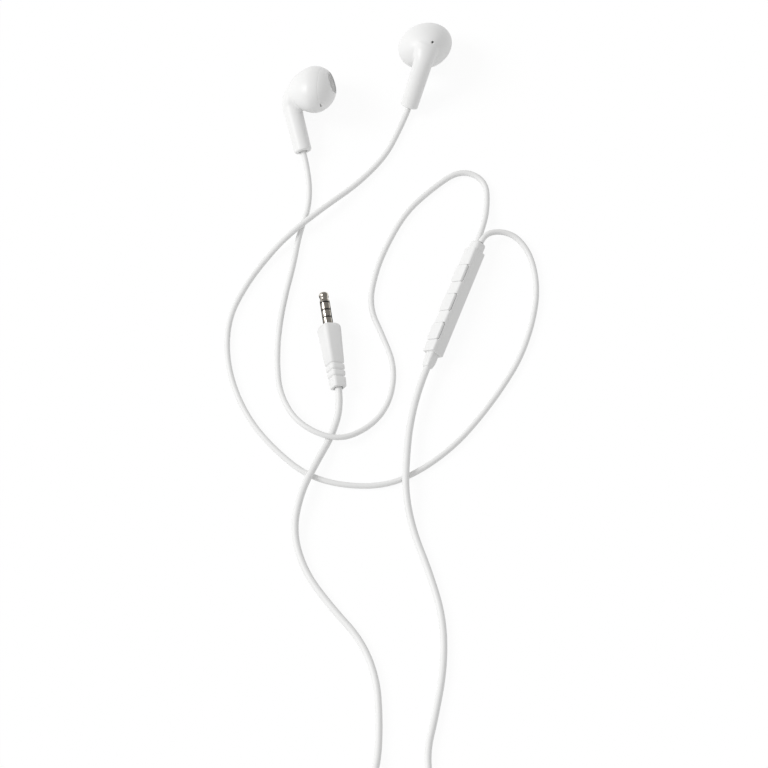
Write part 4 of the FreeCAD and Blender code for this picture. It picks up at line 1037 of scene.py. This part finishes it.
# %% [markdown]
# ## The remote
#
# The remote is a square bar with soft corners, lying on one edge so that two faces show. One bar
# is made, then split along the mould's parting line into a back and a button side, so the two
# skins meet exactly. Three wide pockets across the top take the buttons.

# %% Remote shells
REMOTE_LENGTH = 42.5 * MM
REMOTE_HALF = 2.8 * MM
REMOTE_CORNER = 0.75 * MM
REMOTE_WALL = 0.8 * MM
END_EDGE = 0.35 * MM
SPLIT = 1.2 * MM
BUTTON_LENGTH = 7.0 * MM
BUTTON_PITCH = 11.95 * MM
BUTTON_SHIFT = -1.4 * MM
BUTTON_GAP = 0.08 * MM
BUTTON_RAISE = 0.35 * MM
BUTTON_TRAVEL = 0.23 * MM
SPLIT_BAND = 0.07 * MM
SPLIT_DRAW = 0.05 * MM
PORT_FROM_END = 2.65 * MM
PORT_RADIUS = 0.35 * MM
REMOTE_FINISH = (REMOTE_WHITE, "remote_white")
BUTTONS = (("volume_down", -1), ("play", 0), ("volume_up", 1))

remote_out = (Vector((0, 0, 1)).cross(REMOTE_ALONG) + Vector((0, 0, 1))).normalized()
remote_rise = REMOTE_HALF * math.sqrt(2) - REMOTE_CORNER * (math.sqrt(2) - 1)
remote_middle = Vector((25.17 * MM, -39.54 * MM, remote_rise)) + TABLE_SHIFT
REMOTE_PLACE = pose(remote_middle, REMOTE_ALONG, remote_out)


def split_bar(keep_above):
    """A bar along X with round long edges and softer ends, and one side of its split."""
    half = REMOTE_LENGTH / 2
    piece = block((-half, -REMOTE_HALF, -REMOTE_HALF), (half, REMOTE_HALF, REMOTE_HALF))
    edit()
    pick_along(piece, 0)
    round_edges(REMOTE_CORNER, 6)
    pick(piece, "EDGE", lambda edge: any(all(abs(v.co.x - x) < HAIR for v in edge.verts)
                                         for x in (-half, half)))
    round_edges(END_EDGE, 4)
    slice_flat((0, 0, SPLIT), (0, 0, 1), use_fill=True, clear_inner=keep_above,
               clear_outer=not keep_above)
    slice_flat((0, 0, SPLIT + SPLIT_BAND * (1 if keep_above else -1)), (0, 0, 1))
    pick(piece, "VERT", lambda corner: abs(corner.co.z - SPLIT) < HAIR)
    bpy.ops.transform.resize(value=(1 - SPLIT_DRAW / half, 1 - SPLIT_DRAW / REMOTE_HALF, 1),
                             center_override=(0, 0, SPLIT))
    done()
    return piece


inner_half = REMOTE_HALF - REMOTE_WALL
inner_length = REMOTE_LENGTH / 2 - REMOTE_WALL
back = split_bar(False)
carve(back, block((-inner_length, -inner_half, -inner_half),
                  (inner_length, inner_half, REMOTE_HALF)))
port_x = inner_length - PORT_FROM_END
carve(back, rod(PORT_RADIUS, Vector((port_x, 0, -REMOTE_HALF - NUDGE)),
                Vector((port_x, 0, -inner_half + NUDGE)), sides=24))
lid = split_bar(True)
carve(lid, block((-inner_length, -inner_half, 0), (inner_length, inner_half, inner_half)))
for name, step in BUTTONS:
    middle = BUTTON_SHIFT + BUTTON_PITCH * step
    reach = BUTTON_LENGTH / 2 + BUTTON_GAP
    carve(lid, block((middle - reach, -2 * REMOTE_HALF, inner_half),
                     (middle + reach, 2 * REMOTE_HALF, 2 * REMOTE_HALF)))
for piece, side in ((back, "back"), (lid, "button")):
    dress(piece, f"remote_{side}_housing", REMOTE_FINISH, f"remote_{side}_shell", REMOTE_PLACE)
print("remote shells", len(back.data.polygons), "and", len(lid.data.polygons), "faces")

# %% [markdown]
# A button is a cap as wide as the remote, a little proud of it, with round corners and a soft
# rim, on a narrower stem whose flange hooks under the shell at both ends. The stem and flange
# hardly show, but the cap floats without them, and they move with it when it is pressed.


# %% Buttons
CAP_CORNER = 0.9 * MM
CAP_RIM = 0.45 * MM
CAP_INSET = 0.05 * MM
CAP_OVERLAP = 0.1 * MM
FLANGE = 0.5 * MM
HOOK = 0.45 * MM
HOOK_GAP = 0.03 * MM


def button(step):
    middle = BUTTON_SHIFT + BUTTON_PITCH * step
    half = BUTTON_LENGTH / 2
    side = REMOTE_HALF - CAP_INSET
    low = inner_half + BUTTON_TRAVEL
    top = REMOTE_HALF + BUTTON_RAISE
    cap = block((middle - half, -side, low), (middle + half, side, top))
    edit()
    pick_along(cap, 2)
    round_edges(CAP_CORNER, 6)
    pick(cap, "EDGE", lambda edge: all(v.co.z > top - HAIR for v in edge.verts))
    round_edges(CAP_RIM, 6)
    done()
    stem_side = inner_half - BUTTON_GAP
    flange_low = inner_half - FLANGE
    for reach, high in ((half, low + CAP_OVERLAP), (half + HOOK, inner_half - HOOK_GAP)):
        carve(cap, block((middle - reach, -stem_side, flange_low),
                         (middle + reach, stem_side, high)), "UNION")
    return cap


for name, step in BUTTONS:
    dress(button(step), name + "_cap", REMOTE_FINISH, name + "_button", REMOTE_PLACE, body=name)
print("buttons", [name for name, step in BUTTONS])

# %% [markdown]
# Soft rubber grips the cords at both ends of the remote. The neck where the two branches part is
# a short square with a well rounded end; the relief on the other end tapers to the main cord.

# %% Fork neck and cord relief
SOFT_FINISH = (SOFT_WHITE, "soft_white")
NECK_LENGTH = 3.5 * MM
NECK_HALF = 2.3 * MM
NECK_CORNER = 1.3 * MM
NECK_ROUND = 1.0 * MM
remote_end = REMOTE_LENGTH / 2
neck_end = remote_end + NECK_LENGTH
neck = block((remote_end, -NECK_HALF, -NECK_HALF), (neck_end, NECK_HALF, NECK_HALF))
edit()
pick_along(neck, 0)
round_edges(NECK_CORNER, 8)
pick(neck, "EDGE", lambda edge: all(v.co.x > neck_end - HAIR for v in edge.verts))
round_edges(NECK_ROUND, 6)
done()
dress(neck, "fork_neck", SOFT_FINISH, "remote_fork_neck", REMOTE_PLACE)


def square_section(x, half, corner, twist):
    """A flat square with round corners across X, to be drawn out along it."""
    piece = fresh(bpy.ops.mesh.primitive_plane_add, size=2 * half, rotation=(0, math.pi / 2, 0))
    edit()
    bpy.ops.mesh.bevel(offset=corner, segments=8, affect="VERTICES")
    done()
    piece.rotation_euler = (twist, 0, 0)
    piece.location = (x, 0, 0)
    bake_place(piece)
    return piece


def draw_out(piece, stations):
    """Extrude a flat section along X, resized at each (place, share of the first size)."""
    edit(piece)
    place, share = stations[0]
    for next_place, next_share in stations[1:]:
        step = (next_place - place, 0, 0)
        bpy.ops.mesh.extrude_region_move(TRANSFORM_OT_translate={"value": step})
        grow = next_share / share
        bpy.ops.transform.resize(value=(1, grow, grow), center_override=(next_place, 0, 0))
        place, share = next_place, next_share
    face_outward()
    done()
    return piece


RELIEF_HALF = 1.85 * MM
RELIEF_CORNER = 0.9 * MM
RELIEF_EDGE = 0.15 * MM
RELIEF_SHAPE = ((0, 1), (3.3, 1), (4.9, 0.86), (5.5, 0.76))
relief = square_section(-remote_end, RELIEF_HALF, RELIEF_CORNER, 0)
draw_out(relief, [(-remote_end - back * MM, share) for back, share in RELIEF_SHAPE])
soften(relief, RELIEF_EDGE)
dress(relief, "remote_relief", SOFT_FINISH, "remote_cord_relief", REMOTE_PLACE)
print("neck and relief made")

# %% [markdown]
# ## The plug
#
# Four plated contacts, parted by three black rings, carry the two channels, the microphone and
# the ground. Each is a ring turned from bar, with its edges just broken, so the joints show as
# fine lines. A disc is extruded from station to station, which is turning in mesh terms.


# %% Plug contacts
def turned_piece(stations):
    start, radius = stations[0]
    piece = fresh(bpy.ops.mesh.primitive_circle_add, vertices=72, radius=radius,
                  fill_type="NGON", location=(start, 0, 0), rotation=(0, math.pi / 2, 0))
    return draw_out(piece, [(x, r / radius) for x, r in stations])


plug_up = (Vector((0, 0, 1)) - PLUG_ALONG * PLUG_ALONG.z).normalized()
plug_rise = (PLUG_FULL / plug_up.z + FULL_AT * PLUG_ALONG.z) * MM
PLUG_PLACE = pose(Vector((-18.9 * MM, -48.6 * MM, plug_rise)) + TABLE_SHIFT, PLUG_ALONG, plug_up)

PIN = 1.75 * MM
CORE_BORE = (1.03, -7, 10)
EDGE = 0.06 * MM
ROOT = 1.45 * MM
ROOT_START = -5.6 * MM
CONTACTS = (("sleeve", 0.1, 2.6), ("sleeve_band", 2.6, 3.1), ("second_ring", 3.1, 5.4),
            ("ring_band", 5.4, 5.9), ("first_ring", 5.9, 8.2), ("tip_band", 8.2, 8.7))


def dress_contact(piece, name):
    finish = (BAND_BLACK, "band_black") if "band" in name else (CONTACT, "contact_metal")
    dress(piece, "pin_" + name, finish, "plug_" + name, PLUG_PLACE)


for name, start, end in CONTACTS:
    start, end = start * MM, end * MM
    stations = [(start, PIN - EDGE), (start + EDGE, PIN), (end - EDGE, PIN), (end, PIN - EDGE)]
    if name == "sleeve":
        stations = [(ROOT_START, ROOT), (start, ROOT)] + stations
    piece = turned_piece(stations)
    bore(piece, [CORE_BORE], 48)
    dress_contact(piece, name)

TIP = ((-7.0, 0.55), (8.7, 0.55), (8.7, 1.68), (8.78, 1.75), (9.1, 1.73), (9.5, 1.60),
       (9.8, 1.50), (10.05, 1.46), (10.3, 1.50), (10.7, 1.62), (11.1, 1.70), (11.5, 1.70),
       (11.9, 1.62), (12.2, 1.42), (12.42, 1.1), (12.55, 0.72), (12.6, 0.4))
dress_contact(turned_piece([(x * MM, r * MM) for x, r in TIP]), "tip")

# %% [markdown]
# A polished rod on white paper mirrors the paper at both sides and loses its edges. A
# photographer lays a black card beside it. This one lies under the pin and is seen only by
# mirrored rays, so the paper stays white.

# %% Black card for the pin
PIN_MIDDLE = 6.3 * MM
CARD_RISE = 0.01 * MM
CARD_SIZE = (40 * MM, 15 * MM, 1)
card_middle = PLUG_PLACE @ Vector((PIN_MIDDLE, 0, 0))
bpy.ops.mesh.primitive_plane_add(size=1, location=(card_middle.x, card_middle.y, CARD_RISE))
card = bpy.context.object
card.name = "black_card"
card.scale = CARD_SIZE
card.visible_camera = False
card.visible_diffuse = False
card.visible_shadow = False
card.visible_transmission = False
velvet, tree = new_material("black_velvet")
shader = tree.nodes["Principled BSDF"]
shader.inputs["Base Color"].default_value = (0.01, 0.01, 0.01, 1)
shader.inputs["Specular IOR Level"].default_value = 0
card.data.materials.append(velvet)
print("card under the pin")

# %% [markdown]
# The moulding round the plug is a square with large soft corners that tapers to the cord. As it
# lies, one corner stands up left of the middle, so a bright and a grey face meet in a ridge.
# Three grooves near the tail let it bend, and the cord leaves through an open mouth.

# %% Plug moulding
PLUG_TWIST = math.radians(27.3)
CORNER_SHARE = 0.45
GROOVE = 0.9
MOULDED_EDGE = 0.12 * MM
spread = (1 - CORNER_SHARE) * (math.cos(PLUG_TWIST) + math.sin(PLUG_TWIST)) + CORNER_SHARE
# Places along the moulding and half widths, all in mm
NOSE = [(0.0, 2.9), (0.08, 3.2), (0.35, 3.55), (0.75, 3.85), (1.15, 4.05), (FULL_AT, PLUG_FULL)]
GROOVES_AT = (14.9, 17.3, 19.7)
GROOVE_SHAPE = ((-0.25, 0.0), (0.0, 0.08), (0.2, 0.42), (0.5, 0.60), (0.8, 0.42), (1.0, 0.08),
                (1.25, 0.0))
BORES = ((1.75, -25, -22), (2.43, -14.03, -1.57), (1.48, -3, 1))


def taper(back):
    return PLUG_FULL - PLUG_TAPER * (back - FULL_AT)


outline = list(NOSE)
for front_edge in GROOVES_AT:
    for share, depth in GROOVE_SHAPE:
        back = front_edge + GROOVE * share
        outline.append((back, taper(back) - depth))
outline += [(PLUG_LENGTH - 0.5, taper(PLUG_LENGTH - 0.5)), (PLUG_LENGTH - 0.15, TAIL - 0.12),
            (PLUG_LENGTH, TAIL - 0.4)]
first = NOSE[0][1]
first_half = first / spread * MM
section = square_section(0, first_half, CORNER_SHARE * first_half, PLUG_TWIST)
moulding = draw_out(section, [(-back * MM, reach / first) for back, reach in outline])
soften(moulding, MOULDED_EDGE)
bore(moulding, BORES, 48)
dress(moulding, "plug_grip", SOFT_FINISH, "plug_moulding", PLUG_PLACE)
print("moulding", len(moulding.data.polygons), "faces")

# %% [markdown]
# The hank is held by a flat strap. A box is rounded on its long edges, its two open ends are
# deleted, and the wall is given its thickness last, so the strap is even all round.

# %% Hank strap
STRAP_HALF = 3.5
STRAP_CLEAR = 0.15
STRAP_CORNER = 1.0 * MM
strap_wall = MAIN / 2 / MM + STRAP_CLEAR + STRAP
strap_reach = waist(OUTER_RUN) + strap_wall
strap_top = HIGH + STRAP + strap_wall
middle = Vector((*HANK_MIDDLE, 0)) * MM + TABLE_SHIFT
strap = block(middle + Vector((-strap_reach, -STRAP_HALF, 0)) * MM,
              middle + Vector((strap_reach, STRAP_HALF, strap_top)) * MM)
edit()
pick_along(strap, 1)
round_edges(STRAP_CORNER, 6)
pick(strap, "FACE", lambda face: abs(face.normal.y) > 0.9)
bpy.ops.mesh.delete(type="FACE")
face_outward()
done()
wall = strap.modifiers.new("wall", "SOLIDIFY")
wall.thickness = STRAP * MM
wall.offset = -1
bpy.ops.object.modifier_apply(modifier=wall.name)
soften(strap, MOULDED_EDGE, 2, 50)
STRAP_NYLON = metal("woven_strap", ((0.78, 0.78, 0.77), (0.86, 0.86, 0.85)), (0.55, 0.7),
                    (0, 1, 0), scale=2500, relief=0.6, line_depth=0.05)
STRAP_NYLON.node_tree.nodes["Principled BSDF"].inputs["Metallic"].default_value = 0.0
dress(strap, "hank_strap", (STRAP_NYLON, "tie_white"), "hank_tie")

# %% [markdown]
# ## The pieces inside
#
# The driver, the board and the cores are seen only through the grille or with the shells off.
# Their solids are good as they are, so they keep their shape and get a true finish.

# %% Inner finishes
INNER = {"driver_basket": NYLON_DARK, "yoke": IRON, "magnet": MAGNET, "top_plate": IRON,
         "voice_coil": COPPER, "diaphragm": FILM, "vent_mesh": GRILLE_STEEL,
         "cord_bush": SOFT_WHITE, "lead_wires": COPPER}
finishes = {side + "_" + piece: material for side in BUDS for piece, material in INNER.items()}
finishes.update({name + "_switch": SWITCH_STEEL for name, step in BUTTONS})
finishes.update({"remote_circuit_board": BOARD_GREEN, "remote_microphone": SWITCH_STEEL,
                 "plug_insulating_core": BAND_BLACK, "plug_inner_moulding": SOFT_WHITE})
for node, material in finishes.items():
    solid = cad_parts[node]
    solid.data.materials.clear()
    solid.data.materials.append(material)
print("inner pieces", len(finishes))
